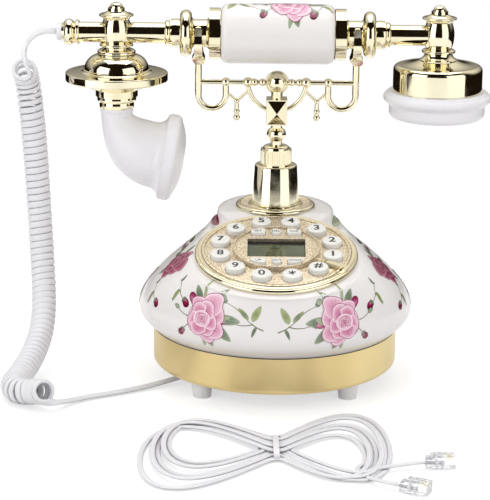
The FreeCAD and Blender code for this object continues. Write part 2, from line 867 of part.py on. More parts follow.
def make_hook_switch():
    """The hook switch: a bracket under the shoulder that holds the contact below the plunger."""
    roof = s.body_top - s.ceramic_wall
    contact = s.body_top - s.stem_depth - s.fit_gap
    foot = contact - s.switch_floor
    front = s.column_y - s.switch_depth / 2
    floor = shape("Part::Box", "switch_plate", Length=s.switch_width, Width=s.switch_depth,
                  Height=s.switch_floor)
    pieces = [seat(floor, -s.switch_width / 2, front, foot)]
    for index, x in enumerate((-s.switch_width / 2, s.switch_width / 2 - s.switch_wall)):
        side = shape("Part::Box", f"switch_side_{index}", Length=s.switch_wall, Width=s.switch_depth,
                     Height=roof - foot)
        pieces.append(seat(side, x, front, foot))
    node(joined("Part::MultiFuse", "hook_switch", pieces))


def make_spring():
    """The return spring round the plunger, between the escutcheon and the plunger's shoulder."""
    helix = shape("Part::Helix", "spring_line", Pitch=s.spring_pitch, Radius=s.spring_radius,
                  Height=s.spring_length - s.spring_wire * 2)
    section = shape("Part::Circle", "spring_section", Radius=s.spring_wire)
    seat(section, s.spring_radius, 0, 0, (1, 0, 0), 90)
    spring = doc.addObject("Part::Sweep", "hook_spring")
    spring.Sections = [section]
    spring.Spine = (helix, ["Edge1"])
    spring.Solid = True
    spring.Frenet = True
    node(seat(spring, 0, s.column_y, column_foot + s.spring_wire + s.slide_gap))


def make_stem():
    """The cradle's plunger with its ball and the block with a pyramid on each broad face."""
    r = s.stem_shaft_radius
    shoulder = column_foot + s.spring_length + s.slide_gap * 2
    flange = s.cone_bore - s.shoulder_gap
    neck = s.ball_radius - s.stem_shaft_radius
    low, high = ball_height - s.ball_radius / 2, ball_height + s.ball_radius / 2
    waist = s.ball_radius * 0.85
    rod = turned("stem_rod", [
        (0, s.body_top - s.stem_depth), (r, s.body_top - s.stem_depth), (r, shoulder), (flange, shoulder),
        (flange, shoulder + s.shoulder_gap), (r, shoulder + s.shoulder_gap), (r, low - neck / 2),
        (waist, low), (waist, high, DEEP / 2), (r, high + neck / 2), (r, hub_height), (0, hub_height)])
    seat(rod, 0, s.column_y, 0)
    half = s.block_width / 2
    box = shape("Part::Box", "block_core", Length=s.block_width, Width=s.block_width, Height=s.block_height)
    seat(box, -half, s.column_y - half, block_bottom)
    pieces = [rod, box]
    tip = s.block_tip / 2
    side = half - s.block_edge
    for index, angle in enumerate((0, 180)):
        point = shape("Part::Wedge", f"block_point_{index}", Xmin=-side, Xmax=side, Zmin=s.block_edge,
                      Zmax=s.block_height - s.block_edge, Ymin=0, Ymax=s.block_point, X2min=-tip, X2max=tip,
                      Z2min=s.block_height / 2 - tip, Z2max=s.block_height / 2 + tip)
        y = s.column_y + half if index == 0 else s.column_y - half
        pieces.append(seat(point, 0, y, block_bottom, (0, 0, 1), angle))
    return node(joined("Part::MultiFuse", "cradle_stem", pieces))


def wire_arc(name, radius, wire, start, sweep):
    """Part of a wire ring that stands in the XZ plane, from a start angle round by a sweep."""
    ring = shape("Part::Torus", name, Radius1=radius, Radius2=wire)
    ring.Angle3 = sweep
    stand = Rotation(Vector(1, 0, 0), 90)
    ring.Placement = Placement(Vector(), stand.multiply(Rotation(Vector(0, 0, 1), start)))
    return ring


def move(item, x, y, z):
    """Moves an item that is already turned, keeping its turn."""
    item.Placement.Base = Vector(size(x).value, size(y).value, size(z).value)
    for letter, length in zip("xyz", (x, y, z)):
        bind(item, f"Placement.Base.{letter}", length)
    return item


def strut(name, wire, start, end):
    """A straight wire between two points of the cradle's plane, each (x, z)."""
    length = distance(start, end)
    run = shape("Part::Cylinder", name, Radius=wire, Height=length)
    heading = Vector(end[0].value - start[0].value, 0, end[1].value - start[1].value)
    run.Placement = Placement(Vector(), Rotation(Vector(0, 0, 1), heading))
    return move(run, start[0], s.column_y, start[1])


def make_cradle(stem):
    """The cast cradle: a ringed hub, a beaded crossbar, hooks, arcs, pendants and two forks."""
    z = hub_height
    y = s.column_y
    hub = seat(shape("Part::Sphere", "hub_ball", Radius=s.hub_radius), 0, y, z)
    ring = wire_arc("hub_ring", s.hub_ring_radius, s.hub_ring_wire, 0, 360)
    pieces = [hub, move(ring, 0, y, z)]
    outer_x = post_reach - s.hook_radius * 2
    fork_foot = handset_height - s.waist_radius - s.fork_gap - s.fork_foot
    hook_z = z - s.hook_drop
    leg_wire = s.post_wire * 0.9
    small_bead = s.bar_radius + s.bar_bead
    for side, word in ((-1, "left"), (1, "right")):
        post_x = post_reach * side
        leg_x = outer_x * side
        arc_x = s.inner_ball_x * side
        middle = (leg_x + arc_x) / 2
        knot = (middle, z - s.pendant_drop)
        tip = (middle, z - s.pendant_drop - s.pendant_length)
        pieces.append(strut(f"{word}_bar", s.bar_radius, (size(0), z), (post_x, z)))
        pieces.append(strut(f"{word}_post", s.post_wire, (post_x, hook_z), (post_x, fork_foot)))
        pieces.append(strut(f"{word}_leg", leg_wire, (leg_x, hook_z), (leg_x, z)))
        hook = wire_arc(f"{word}_hook", s.hook_radius, leg_wire, 180, 180)
        pieces.append(move(hook, (post_x + leg_x) / 2, y, hook_z))
        arc = wire_arc(f"{word}_arc", s.inner_ball_x, s.arc_wire, 180 if side < 0 else 285, 75)
        pieces.append(move(arc, 0, y, z))
        beads = ((arc_x, s.inner_ball_radius), (leg_x, s.outer_ball_radius),
                 ((s.hub_ring_radius + small_bead) * side, small_bead),
                 (arc_x - (s.inner_ball_radius + s.bar_bead) * side, small_bead))
        for index, (x, radius) in enumerate(beads):
            bead = shape("Part::Sphere", f"{word}_bead_{index}", Radius=radius)
            pieces.append(seat(bead, x, y, z))
        outer_end = (leg_x, z - s.hook_drop * 0.75)
        inner_end = (arc_x * 0.95, z - s.hook_drop * 0.6)
        pieces.append(strut(f"{word}_brace_out", s.pendant_wire, outer_end, knot))
        pieces.append(strut(f"{word}_brace_in", s.pendant_wire, inner_end, knot))
        pieces.append(strut(f"{word}_drop", s.pendant_wire * 1.35, knot, tip))
        for index, (drop, share) in enumerate(((0, 0.82), (0.62, 0.92), (1, 1))):
            bead = shape("Part::Sphere", f"{word}_drop_bead_{index}", Radius=s.pendant_ball * share)
            pieces.append(seat(bead, middle, y, knot[1] - s.pendant_length * drop))
    casting = joined("Part::MultiFuse", "cradle_casting", pieces)
    node(cut("cradle_frame", casting, [stem]))
    for side, word in ((-1, "left"), (1, "right")):
        make_fork(word + "_fork", side, fork_foot)


def make_fork(name, side, foot):
    """A fork that stands on its post: a bulb, and two tapered prongs that hold the handset's waist."""
    inner = s.waist_radius + s.fork_gap
    outer = inner + s.fork_wall
    axis = handset_height - foot
    top = axis + s.fork_rise
    knob = s.fork_knob
    neck = s.fork_neck
    cheek = outer * 0.62
    bulb = s.fork_bulb
    half = s.fork_width / 2
    prongs = padded(name + "_prongs", [([
        (-knob * 0.6, 0), (knob * 0.6, 0), (knob, neck, QUARTER), (cheek, neck + s.fork_shoulder),
        (outer, axis, QUARTER), (outer, top), (inner, top, DEEP), (inner, axis), (-inner, axis, -HALF),
        (-inner, top), (-outer, top, DEEP), (-outer, axis), (-cheek, neck + s.fork_shoulder, QUARTER),
        (-knob, neck)], -bulb, bulb * 2)])
    prongs.Placement = Placement(Vector(), Rotation(Vector(0, 1, 0), Vector(0, 0, 1), Vector(1, 0, 0), "ZXY"))
    taper = padded(name + "_taper", [([
        (-s.post_wire, 0), (s.post_wire, 0), (bulb, neck, QUARTER), (bulb, neck * 1.4),
        (half, neck * 3, -BULGE), (half * 0.85, top - half), (half * 0.3, top, QUARTER),
        (-half * 0.3, top), (-half * 0.85, top - half, QUARTER), (-half, neck * 3),
        (-bulb, neck * 1.4, -BULGE), (-bulb, neck)], -outer * 2, outer * 4)])
    taper.Placement = Placement(Vector(), Rotation(Vector(1, 0, 0), 90))
    fork = joined("Part::MultiCommon", name, [prongs, taper])
    node(move(fork, post_reach * side, s.column_y, foot))


grip_half = s.grip_length / 2
ring_start = grip_half + s.slide_gap
ring_end = ring_start + s.ring_length
waist_end = ring_end + s.waist_length
flange_end = waist_end + s.flange_length
post_reach = waist_end - s.waist_length / 2 + s.post_shift
neck_end = flange_end + s.neck_length
bead_end = neck_end + s.bead_length


def make_grip():
    """The ceramic grip, the rod through it and the turned collar at each of its ends."""
    r = s.grip_radius
    end = s.grip_round
    node(along_x(turned("grip", [
        (s.grip_bore, 0), (r - end, 0), (r, end, QUARTER), (r, s.grip_length - end),
        (r - end, s.grip_length, QUARTER), (s.grip_bore, s.grip_length)]), -grip_half, handset_height))
    reach = waist_end
    node(along_x(turned("tie_rod", [
        (0, 0), (s.tie_radius, 0), (s.tie_radius, reach * 2), (0, reach * 2)]), -reach, handset_height))
    collars = []
    bore = s.tie_radius + s.slide_gap / 2
    plug = s.grip_bore - s.slide_gap
    fillet = s.waist_fillet
    rim = s.flange_radius - s.flange_bulge
    bottom = grip_half - s.collar_spigot
    ring_low, ring_high, waist_high = ring_start - bottom, ring_end - bottom, waist_end - bottom
    flange_high, neck_high, bead_high = flange_end - bottom, neck_end - bottom, bead_end - bottom
    for side, word in ((-1, "left"), (1, "right")):
        collar = turned(f"{word}_collar", [
            (bore, 0), (plug, 0), (plug, ring_low), (s.ring_radius, ring_low), (s.ring_radius, ring_high),
            (s.ring_radius - fillet, ring_high), (s.waist_radius, ring_high + fillet, -QUARTER),
            (s.waist_radius, waist_high - fillet), (rim, waist_high, -QUARTER), (rim, flange_high, DEEP),
            (s.neck_radius, flange_high), (s.neck_radius, neck_high, FAINT), (s.bead_radius, neck_high),
            (s.bead_radius, bead_high, DEEP), (0, bead_high), (0, waist_high + s.slide_gap),
            (bore, waist_high + s.slide_gap)])
        collars.append(along_x(collar, bottom * side, handset_height, side < 0))
    node(joined("Part::Compound", "grip_collars", collars))


def barrel(name, foot, drop):
    """An upright barrel of the handset: a ring on its foot, a bulging wall, a flared cap and a knob."""
    r = s.barrel_radius
    ring = s.barrel_ring
    cap = s.barrel_cap_radius - ring / 5
    low = ring * 1.6 - drop
    top = s.barrel_top
    knob = s.knob_radius
    crown = s.knob_top - knob * 0.62
    return turned(name, [(0, -drop)] + foot + [
        (cap - ring / 5, low + ring / 4), (cap - ring / 5, low + ring, DEEP), (r, low + ring * 1.25),
        (r, top - ring / 5, BULGE), (cap, top + ring * 0.5, -SOFT), (cap, top + ring, DEEP),
        (knob * 1.25, top + ring * 1.5, -SOFT), (knob, top + ring * 1.7), (knob, crown),
        (knob * 0.82, crown), (ring / 4, s.knob_top, QUARTER), (0, s.knob_top)])


def make_arms():
    """The two arms: a tube from the collar into an upright barrel. The left one runs on to a nut."""
    end = s.nut_end - bead_end
    nut = end - s.nut_length
    ring = s.barrel_ring
    bulge = s.nut_radius - ring * 0.62
    tube = turned("mouth_tube", [
        (0, 0), (s.arm_radius, 0), (s.arm_radius, nut), (bulge, nut), (bulge, nut + ring, DEEP),
        (bulge - ring * 0.4, nut + ring * 1.25), (bulge - ring * 0.2, end - ring * 0.6, DEEP),
        (s.bush_radius, end), (0, end)])
    along_x(tube, -bead_end, handset_height, True)
    place = (-s.arm_reach, s.column_y, handset_height)
    edge = s.mouth_foot_radius - ring / 3
    foot = [(edge, -s.mouth_drop), (edge, ring - s.mouth_drop, DEEP),
            (s.barrel_radius, ring * 1.25 - s.mouth_drop), (s.barrel_radius, ring * 1.6 - s.mouth_drop)]
    post = seat(barrel("mouth_barrel", foot, s.mouth_drop), *place)
    node(joined("Part::MultiFuse", "mouth_arm", [tube, post]))
    tube = turned("ear_tube", [
        (0, 0), (s.arm_radius, 0), (s.arm_radius, s.arm_reach - bead_end), (0, s.arm_reach - bead_end)])
    along_x(tube, bead_end, handset_height)
    place = (s.arm_reach, s.column_y, handset_height)
    edge = s.ear_foot_radius
    foot = [(edge, -s.ear_drop), (edge, ring / 4 - s.ear_drop),
            (s.barrel_radius + ring / 4, ring * 1.6 - s.ear_drop, -SOFT)]
    post = seat(barrel("ear_barrel", foot, s.ear_drop), *place)
    node(joined("Part::MultiFuse", "ear_arm", [tube, post]))
    hole = s.cord_radius + s.slide_gap
    bush = turned("cord_bush", [
        (hole, 0), (s.bush_radius, 0), (s.bush_radius * 0.88, s.bush_length, SOFT), (hole, s.bush_length)])
    node(along_x(bush, -s.nut_end, handset_height, True))


def make_mouth_bell():
    """The gold bell over the mouthpiece: a dome, a broad disc with a thick rim, and a stepped ferrule."""
    foot = -s.mouth_drop
    flat = -s.disc_drop
    under = flat - s.disc_edge
    neck = -s.ferrule_drop
    end = -s.ferrule_end
    r, curl, cove = s.disc_radius, s.disc_round, s.dome_cove
    thin, wide = s.ferrule_tip_radius, s.ferrule_radius
    middle = (thin + wide) / 2
    first, second = end + s.ferrule_tip, end + s.ferrule_tip * 1.8
    node(seat(turned("mouth_bell", [
        (s.bell_bore, end), (thin, end), (thin, first, FAINT), (middle, first), (middle, second, BULGE),
        (wide, second), (wide, neck), (r - s.disc_edge, under), (r - curl, under),
        (r, under + curl, QUARTER), (r, flat - curl), (r - curl, flat, QUARTER),
        (s.dome_radius + cove * 2, flat + cove / 4), (s.dome_radius + cove / 2, flat + cove, -QUARTER),
        (s.dome_radius, flat + cove * 1.2), (s.mouth_foot_radius, foot - cove / 4, ROUND),
        (s.mouth_foot_radius, foot), (s.bell_bore, foot)]), -s.arm_reach, s.column_y, handset_height))


# The horn's sections from its collar to its mouth: how far along and how far down its middle is, as
# shares, then its dip, and its share of the way from the collar's radius to the mouth's.
HORN_MARKS = (
    (0, 0, 90, 0), (0.12, 0.28, 67, 0.22), (0.26, 0.53, 48, 0.51), (0.57, 0.83, 26.5, 0.84), (1, 1, None, 1))
horn_top = handset_height - s.ferrule_end - s.horn_collar


def horn_loft(name, inset):
    """The curved horn through its sections, set in from its outside. The last dips as its mouth does."""
    sections = []
    for index, (along, down, dip, share) in enumerate(HORN_MARKS):
        radius = s.horn_radius + (s.horn_mouth_radius - s.horn_radius) * share - inset
        ring = shape("Part::Circle", f"{name}_{index}", Radius=radius)
        lean = s.horn_dip if dip is None else size(dip)
        x = s.horn_reach * along - s.arm_reach
        seat(ring, x, s.column_y, horn_top - s.horn_fall * down, (0, 1, 0), lean + 90)
        sections.append(ring)
    loft = doc.addObject("Part::Loft", name)
    loft.Sections = sections
    loft.Solid = True
    return loft


def on_horn(item, rise):
    """Puts a lathe piece on the horn's mouth, its axis along the horn's, at a rise from the mouth."""
    x = s.horn_reach - s.arm_reach + cosine(s.horn_dip) * rise
    z = horn_top - s.horn_fall - sine(s.horn_dip) * rise
    return seat(item, x, s.column_y, z, (0, 1, 0), s.horn_dip + 90)


def make_mouthpiece():
    """The white horn with its collar and rim, the microphone and the pierced cap."""
    edge = s.horn_edge
    lip = s.horn_radius + edge / 2
    r = s.horn_rim_radius
    end = s.horn_rim_length
    inside = s.horn_mouth_radius - s.horn_wall
    tube = horn_loft("horn_skin", 0)
    collar = turned("horn_collar", [
        (0, 0), (s.horn_radius, 0), (s.horn_radius, s.horn_neck), (lip, s.horn_neck + edge / 2),
        (lip, s.horn_collar), (0, s.horn_collar)])
    seat(collar, -s.arm_reach, s.column_y, horn_top)
    rim = turned("horn_rim", [
        (0, 0), (s.horn_mouth_radius, 0), (r, end - edge, -ROUND), (r, end), (0, end)])
    solid = joined("Part::MultiFuse", "horn_solid", [tube, collar, on_horn(rim, 0)])
    bowl = horn_loft("horn_inside", s.horn_wall)
    mouth = turned("horn_mouth", [(0, 0), (inside, 0), (inside, end * 2), (0, end * 2)])
    node(cut("mouth_horn", solid, [bowl, on_horn(mouth, 0)]))
    thick = s.microphone_thickness
    can = s.microphone_radius
    capsule = inside + s.microphone_lap
    node(on_horn(turned("microphone", [
        (0, -thick), (can, -thick), (can, 0), (capsule, 0), (capsule, thick / 2),
        (can + thick / 2, thick / 2), (can, thick), (0, thick)]), end))
    outer = s.mouth_cap_radius
    inner = outer - s.horn_wall
    length = s.mouth_cap_length
    dome = length + s.mouth_cap_dome
    curl = s.mouth_cap_round
    skin = turned("mouth_cap_skin", [
        (inner, 0), (outer, 0), (outer, length - curl * 0.6), (outer - curl, length + curl * 0.4, QUARTER),
        (0, dome, SHALLOW), (0, dome - s.horn_wall), (inner, length - s.horn_wall, -SHALLOW)])
    node(on_horn(cut("mouth_cap", skin, sound_holes("mouth_hole", length)), end))


def sound_holes(name, foot):
    """One hole in the middle and two rings of holes round it, through a cap whose rim is at foot."""
    holes = []
    for share, count in ((0, 1), (0.5, 6), (1, 12)):
        reach = s.sound_hole_circle * share
        for index in range(count):
            turn = 2 * math.pi * index / count
            hole = shape("Part::Cylinder", f"{name}_{count}_{index}", Radius=s.sound_hole_radius,
                         Height=s.sound_hole_depth)
            seat(hole, reach * math.cos(turn), reach * math.sin(turn), foot - s.sound_hole_depth / 3)
            holes.append(hole)
    return holes


def make_earpiece():
    """The gold shell over the earpiece, the white cap with its rolled rim, and the receiver."""
    place = (s.arm_reach, s.column_y, handset_height)
    top = -s.ear_drop
    end = -s.shell_end
    r = s.shell_radius
    foot = s.ear_foot_radius
    wall, curl, slope = s.shell_wall, s.shell_round, s.shell_slope
    node(seat(turned("ear_shell", [
        (0, top - wall), (foot - wall, top - wall), (r - wall - curl, top - slope - wall, -FAINT),
        (r - wall, end), (r, end), (r, top - slope - curl), (r - curl, top - slope, QUARTER),
        (foot, top, -FAINT), (0, top)]), *place))
    cap, lip = s.ear_cap_radius, s.ear_lip
    roll = s.ear_roll
    rim = s.ear_rim_radius - roll
    floor = -s.ear_cap_end
    pocket = s.receiver_radius + s.fit_gap
    well = floor + s.ear_floor
    skin = turned("ear_cap_skin", [
        (0, floor + s.ear_dish), (cap - lip * 2, floor + s.ear_dish / 5, FAINT), (cap - lip, floor),
        (cap, floor + lip * 0.8, QUARTER), (cap, end - roll * 3.8), (rim, end - roll * 3),
        (rim, end - roll * 0.6, DEEP), (rim - lip / 2, end, QUARTER), (pocket, end), (pocket, well),
        (0, well)])
    node(seat(cut("ear_cap", skin, sound_holes("ear_hole", floor)), *place))
    depth = end - well
    magnet = s.receiver_radius / 2
    node(seat(turned("receiver", [
        (0, well), (s.receiver_radius, well), (s.receiver_radius, well + depth * 0.6),
        (magnet, well + depth * 0.7), (magnet, well + depth * 1.3), (0, well + depth * 1.3)]), *place))


# Routes of the cords, as points picked along them.
LEAD_POINTS = (
    (-134.8, 45, 207.4), (-141.5, 45, 207.5), (-149, 45, 204.8), (-153.6, 45, 198.2), (-155.3, 45, 190.5),
    (-155.4, 45, 185.6))
CURL_POINTS = (
    (-155.4, 45, 185.2), (-154.4, 45, 164), (-152.6, 45, 140), (-151, 44, 114), (-149.6, 42, 88),
    (-147.9, 37, 62), (-146, 27, 40), (-146, 12, 25), (-148.6, -5, 16.5), (-152.4, -22, 11.2),
    (-156.4, -38, 8.6), (-158.8, -52, 8.1), (-156.8, -61, 8), (-151.6, -68, 8.2), (-145.2, -72.6, 10.2),
    (-138.6, -75.6, 13.6))
TAIL_POINTS = (
    (-133.2, -76.4, 8.4), (-130, -69, 5.2), (-124, -61, 2.2), (-113, -53.5, 1.75), (-97, -45.5, 1.75),
    (-79, -34, 1.75), (-62, -23, 3.2), (-47, -13, 5.2), (-36, -6, 5.2))
SHARE_OF_RUN = 0.45


def route(points):
    """A cord's line: straight runs joined by tangent arcs as large as the runs allow."""
    points = [Vector(*point) for point in points]
    edges = []
    here = points[0]
    radii = []
    for before, corner, after in zip(points, points[1:], points[2:]):
        into = (corner - before).normalize()
        out = (after - corner).normalize()
        turn = into.getAngle(out)
        reach = SHARE_OF_RUN * min(before.distanceToPoint(corner), corner.distanceToPoint(after))
        radius = reach / math.tan(turn / 2)
        radii.append(round(radius, 1))
        start = corner - into * reach
        end = corner + out * reach
        inward = (out - into).normalize()
        middle = corner + inward * (radius / math.cos(turn / 2) - radius)
        edges.append(Part.LineSegment(here, start).toShape())
        edges.append(Part.Arc(start, middle, end).toShape())
        here = end
    edges.append(Part.LineSegment(here, points[-1]).toShape())
    return Part.Wire(edges), radii


def make_cord(name, points, radius):
    """A cord's plain tube along its route."""
    line, radii = route(points)
    heading = Vector(*points[1]) - Vector(*points[0])
    section = Part.Wire(Part.makeCircle(radius, Vector(*points[0]), heading))
    tube = line.makePipeShell([section], True, False)
    full = math.pi * radius ** 2 * line.Length
    print(name, "arc radii", radii, "volume share", round(tube.Volume / full, 4))
    cord = doc.addObject("Part::Feature", name)
    cord.Shape = tube
    cord.Placement = Placement()
    node(cord)


def make_grommet():
    """The strain relief under the floor where the handset's cord comes out."""
    x, y, _ = TAIL_POINTS[-1]
    heading = Vector(*TAIL_POINTS[-1]) - Vector(*TAIL_POINTS[-2])
    block = shape("Part::Box", "cord_grommet", Length=s.grommet_length, Width=s.grommet_width,
                  Height=s.grommet_drop)
    turn = math.degrees(math.atan2(heading.y, heading.x))
    block.Placement = Placement(Vector(), Rotation(Vector(0, 0, 1), turn))
    along = heading.normalize()
    half = s.grommet_width / 2
    corner_x = x + s.slide_gap * along.x + half * along.y
    corner_y = y + s.slide_gap * along.y - half * along.x
    node(move(block, corner_x, corner_y, lip_top - s.grommet_drop))


# Where the plugs of the line cord lie: the back of each housing, its turn and the cord to the hank.
PLUG_PLACES = ((85.8, -162.7, 6, 17), (69.6, -198.9, -24, 22))


def make_line_cord():
    """The spare line cord: a tied figure-of-eight hank and the two plugs on its ends."""
    left, right, half = s.hank_left, s.hank_right, s.hank_half
    corner, waist = s.hank_corner, s.hank_waist
    hank = padded("hank", [([
        (0, -waist), (right - corner, -half, FAINT), (right, corner - half, QUARTER),
        (right, half - corner), (right - corner, half, QUARTER), (0, waist, FAINT),
        (corner - left, half, FAINT),
        (-left, half - corner, QUARTER), (-left, corner - half), (corner - left, -half, QUARTER)],
        0, s.hank_height)])
    cords = [seat(hank, 0, s.hank_y, 0)]
    plugs = []
    for index, (x, y, turn, cord_length) in enumerate(PLUG_PLACES):
        length, width, height = s.plug_length, s.plug_width, s.plug_height
        housing = shape("Part::Box", f"plug_housing_{index}", Length=length, Width=width, Height=height)
        seat(housing, 0, -width / 2, s.latch_height)
        sleeve = shape("Part::Box", f"plug_sleeve_{index}", Length=s.sleeve_length, Width=width * 0.75,
                       Height=height * 0.8)
        seat(sleeve, -s.sleeve_length, -width * 0.375, s.latch_height)
        latch = shape("Part::Box", f"plug_latch_{index}", Length=length * 0.8, Width=s.latch_width,
                      Height=s.latch_height)
        seat(latch, 0, -s.latch_width / 2, 0)
        plug = joined("Part::MultiFuse", f"plug_{index}", [housing, sleeve, latch])
        lay = Placement(Vector(x, y, 0), Rotation(Vector(0, 0, 1), turn))
        plug.Placement = lay
        plugs.append(plug)
        run = shape("Part::Cylinder", f"cord_end_{index}", Radius=s.cord_radius, Height=cord_length)
        reach = s.sleeve_length + s.slide_gap + cord_length
        start = Placement(Vector(-reach.value, 0, s.latch_height.value + height.value * 0.4),
                          Rotation(Vector(0, 1, 0), 90))
        run.Placement = lay.multiply(start)
        cords.append(run)
    node(joined("Part::MultiFuse", "line_cord", cords))
    node(joined("Part::Compound", "line_plugs", plugs))


make_feet()
make_bottom_plate()
make_band()
make_line_jack()
make_ceramic_body()
make_bezel()
make_dial_plate()
make_number_keys()
make_function_keys()
make_centre_plate()
make_display()
make_ringer()
make_column()
make_hook_switch()
make_spring()
make_cradle(make_stem())
make_grip()
make_arms()
make_mouth_bell()
make_mouthpiece()
make_earpiece()
make_cord("cord_lead", LEAD_POINTS, s.cord_radius.value)
make_cord("curly_cord", CURL_POINTS, s.curl_radius.value)
make_cord("cord_tail", TAIL_POINTS, s.cord_radius.value)
make_grommet()
make_line_cord()

doc.recompute()
for item in doc.Objects:
    if {"Invalid", "Error"} & set(item.State):
        raise RuntimeError(f"{item.Label} failed: {item.State}")
os.makedirs("parts", exist_ok=True)
for item in nodes:
    if item.Shape.isNull() or not item.Shape.isValid() or not item.Shape.Solids:
        raise RuntimeError(f"{item.Label} has no valid solid")
for item in nodes:
    item.Shape.exportStep(f"parts/{item.Label}.step")
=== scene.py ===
import math
from functools import cache, partial

import bmesh
import bpy
import numpy as np
from mathutils import Matrix, Vector
from mathutils.bvhtree import BVHTree


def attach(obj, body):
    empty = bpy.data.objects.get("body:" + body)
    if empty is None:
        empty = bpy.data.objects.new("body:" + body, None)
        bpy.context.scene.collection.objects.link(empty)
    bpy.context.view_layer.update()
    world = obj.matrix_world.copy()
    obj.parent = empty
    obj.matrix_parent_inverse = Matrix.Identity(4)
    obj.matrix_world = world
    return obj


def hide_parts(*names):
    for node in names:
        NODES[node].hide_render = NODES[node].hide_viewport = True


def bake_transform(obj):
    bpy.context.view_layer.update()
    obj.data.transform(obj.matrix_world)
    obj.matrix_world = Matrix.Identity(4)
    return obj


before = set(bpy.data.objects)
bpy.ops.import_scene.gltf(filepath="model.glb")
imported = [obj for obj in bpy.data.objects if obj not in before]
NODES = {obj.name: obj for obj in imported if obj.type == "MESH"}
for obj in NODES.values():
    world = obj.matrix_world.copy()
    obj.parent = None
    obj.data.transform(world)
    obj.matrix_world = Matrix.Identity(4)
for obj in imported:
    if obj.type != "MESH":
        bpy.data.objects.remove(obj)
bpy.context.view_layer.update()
SCENE = bpy.context.scene
MM = 0.001
ACROSS = Vector((1, 0, 0))
UP = Vector((0, 0, 1))


# Helpers


def mm(point):
    """A point written in millimetres, in metres."""
    return Vector(point) * MM


@cache
def tree_of(name):
    """A search tree of a CAD node's faces."""
    mesh = NODES[name].data
    return BVHTree.FromPolygons([v.co for v in mesh.vertices], [tuple(p.vertices) for p in mesh.polygons])


def put(name, data):
    """A new object in the scene."""
    piece = bpy.data.objects.new(name, data)
    SCENE.collection.objects.link(piece)
    return piece


def mesh_object(name, points, faces, made, body, smooth=True):
    """A new mesh piece that rides on a body."""
    mesh = bpy.data.meshes.new(name)
    mesh.from_pydata([tuple(p) for p in points], [], faces)
    mesh.validate()
    for polygon in mesh.polygons:
        polygon.use_smooth = smooth
    mesh.materials.append(made)
    piece = put(name, mesh)
    if body:
        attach(piece, body)
    return piece


def mesh_of(data):
    """The mesh that a curve or a text gives; the curve is then removed."""
    mesh = bpy.data.meshes.new_from_object(bpy.data.objects.new("holder", data))
    bpy.data.curves.remove(data)
    return mesh


def spline_points(points, resolution=12):
    """Points along the smooth curve that a route's control points give."""
    data = bpy.data.curves.new("route", "CURVE")
    data.dimensions = "3D"
    data.resolution_u = resolution
    spline = data.splines.new("NURBS")
    spline.points.add(len(points) - 1)
    for place, point in zip(spline.points, points):
        place.co = (*point, 1)
    spline.order_u = 3
    spline.use_endpoint_u = True
    mesh = mesh_of(data)
    line = np.array([v.co for v in mesh.vertices], float)
    bpy.data.meshes.remove(mesh)
    return line


def along(line):
    """The distance from the line's start to each of its points."""
    return np.concatenate([[0], np.cumsum(np.linalg.norm(np.diff(line, axis=0), axis=1))])


def evenly(line, step):
    """The same line with points a step apart."""
    far = along(line)
    at = np.linspace(0, far[-1], max(2, round(far[-1] / step) + 1))
    return np.stack([np.interp(at, far, line[:, k]) for k in range(3)], axis=1)


def unit(rows):
    """Each row scaled to a length of one."""
    return rows / np.maximum(np.linalg.norm(rows, axis=-1, keepdims=True), 1e-12)


def tangents(line):
    """The direction of a line at each of its points."""
    return unit(np.gradient(line, axis=0))


def ease(rows, joints, reach, rounds, finish=np.asarray):
    """Smooths rows of numbers, in place, within a reach of each joint."""
    for _ in range(rounds):
        for joint in joints:
            before, near, after = (slice(joint - reach + k, joint + reach + k) for k in (-1, 0, 1))
            rows[near] = finish(rows[near] / 2 + (rows[before] + rows[after]) / 4)


def signed_power(values, power):
    """Each value raised to a power, with its sign kept."""
    return np.sign(values) * np.abs(values) ** power


def ring_faces(rings, count, first=0):
    """Quads between closed rings of points that follow one another."""
    faces = []
    for start in range(first, first + (rings - 1) * count, count):
        for j in range(count):
            here, n = start + j, start + (j + 1) % count
            faces.append((here, here + count, n + count, n))
    return faces


def ribbon_mesh(line, side, wide, thick, corners=14, power=3.0, share=None):
    """A flat cord along a line: its width lies along side, and its edges are rounded. A share of the
    width may be given for each point."""
    ahead = tangents(line)
    side = np.asarray(side)
    side = unit(side - (side * ahead).sum(1)[:, None] * ahead)
    out = np.cross(ahead, side)
    turn = np.arange(corners) * 2 * math.pi / corners
    across = signed_power(np.cos(turn), 2 / power) * wide / 2
    up = signed_power(np.sin(turn), 2 / power) * thick / 2
    count = len(line)
    share = np.ones(count) if share is None else share
    spread = across[None, :, None] * share[:, None, None]
    rings = line[:, None] + spread * side[:, None] + up[None, :, None] * out[:, None]
    faces = [(a, d, c, b) for a, b, c, d in ring_faces(count, corners)]
    faces.append(tuple(range(corners - 1, -1, -1)))
    faces.append(tuple((count - 1) * corners + j for j in range(corners)))
    return rings.reshape(-1, 3), faces


def drop(tree, place, out, height):
    """The point of a surface under a place, or else the nearest one, and its normal."""
    hit, facing, _, _ = tree.ray_cast(place + out * height, -out)
    if hit is None:
        hit, facing, _, _ = tree.find_nearest(place)
    return hit, facing


def round_points(turn):
    """Points on a unit circle at angles."""
    return np.stack([np.cos(turn), np.sin(turn)], axis=1)


def circle(radius, count, closed=False):
    """Points round a circle about the origin; a closed one ends where it starts."""
    return round_points(np.linspace(0, 2 * math.pi, count, endpoint=closed)) * radius


def cos_sin(degrees):
    """An angle's cosine and sine."""
    return math.cos(math.radians(degrees)), math.sin(math.radians(degrees))


def axes(aim):
    """Flat directions along an aim in degrees, and to its left."""
    cos, sin = cos_sin(aim)
    return np.array((cos, sin)), np.array((-sin, cos))


# Materials


def shader_of(made):
    """A material's main shader."""
    return made.node_tree.nodes["Principled BSDF"]


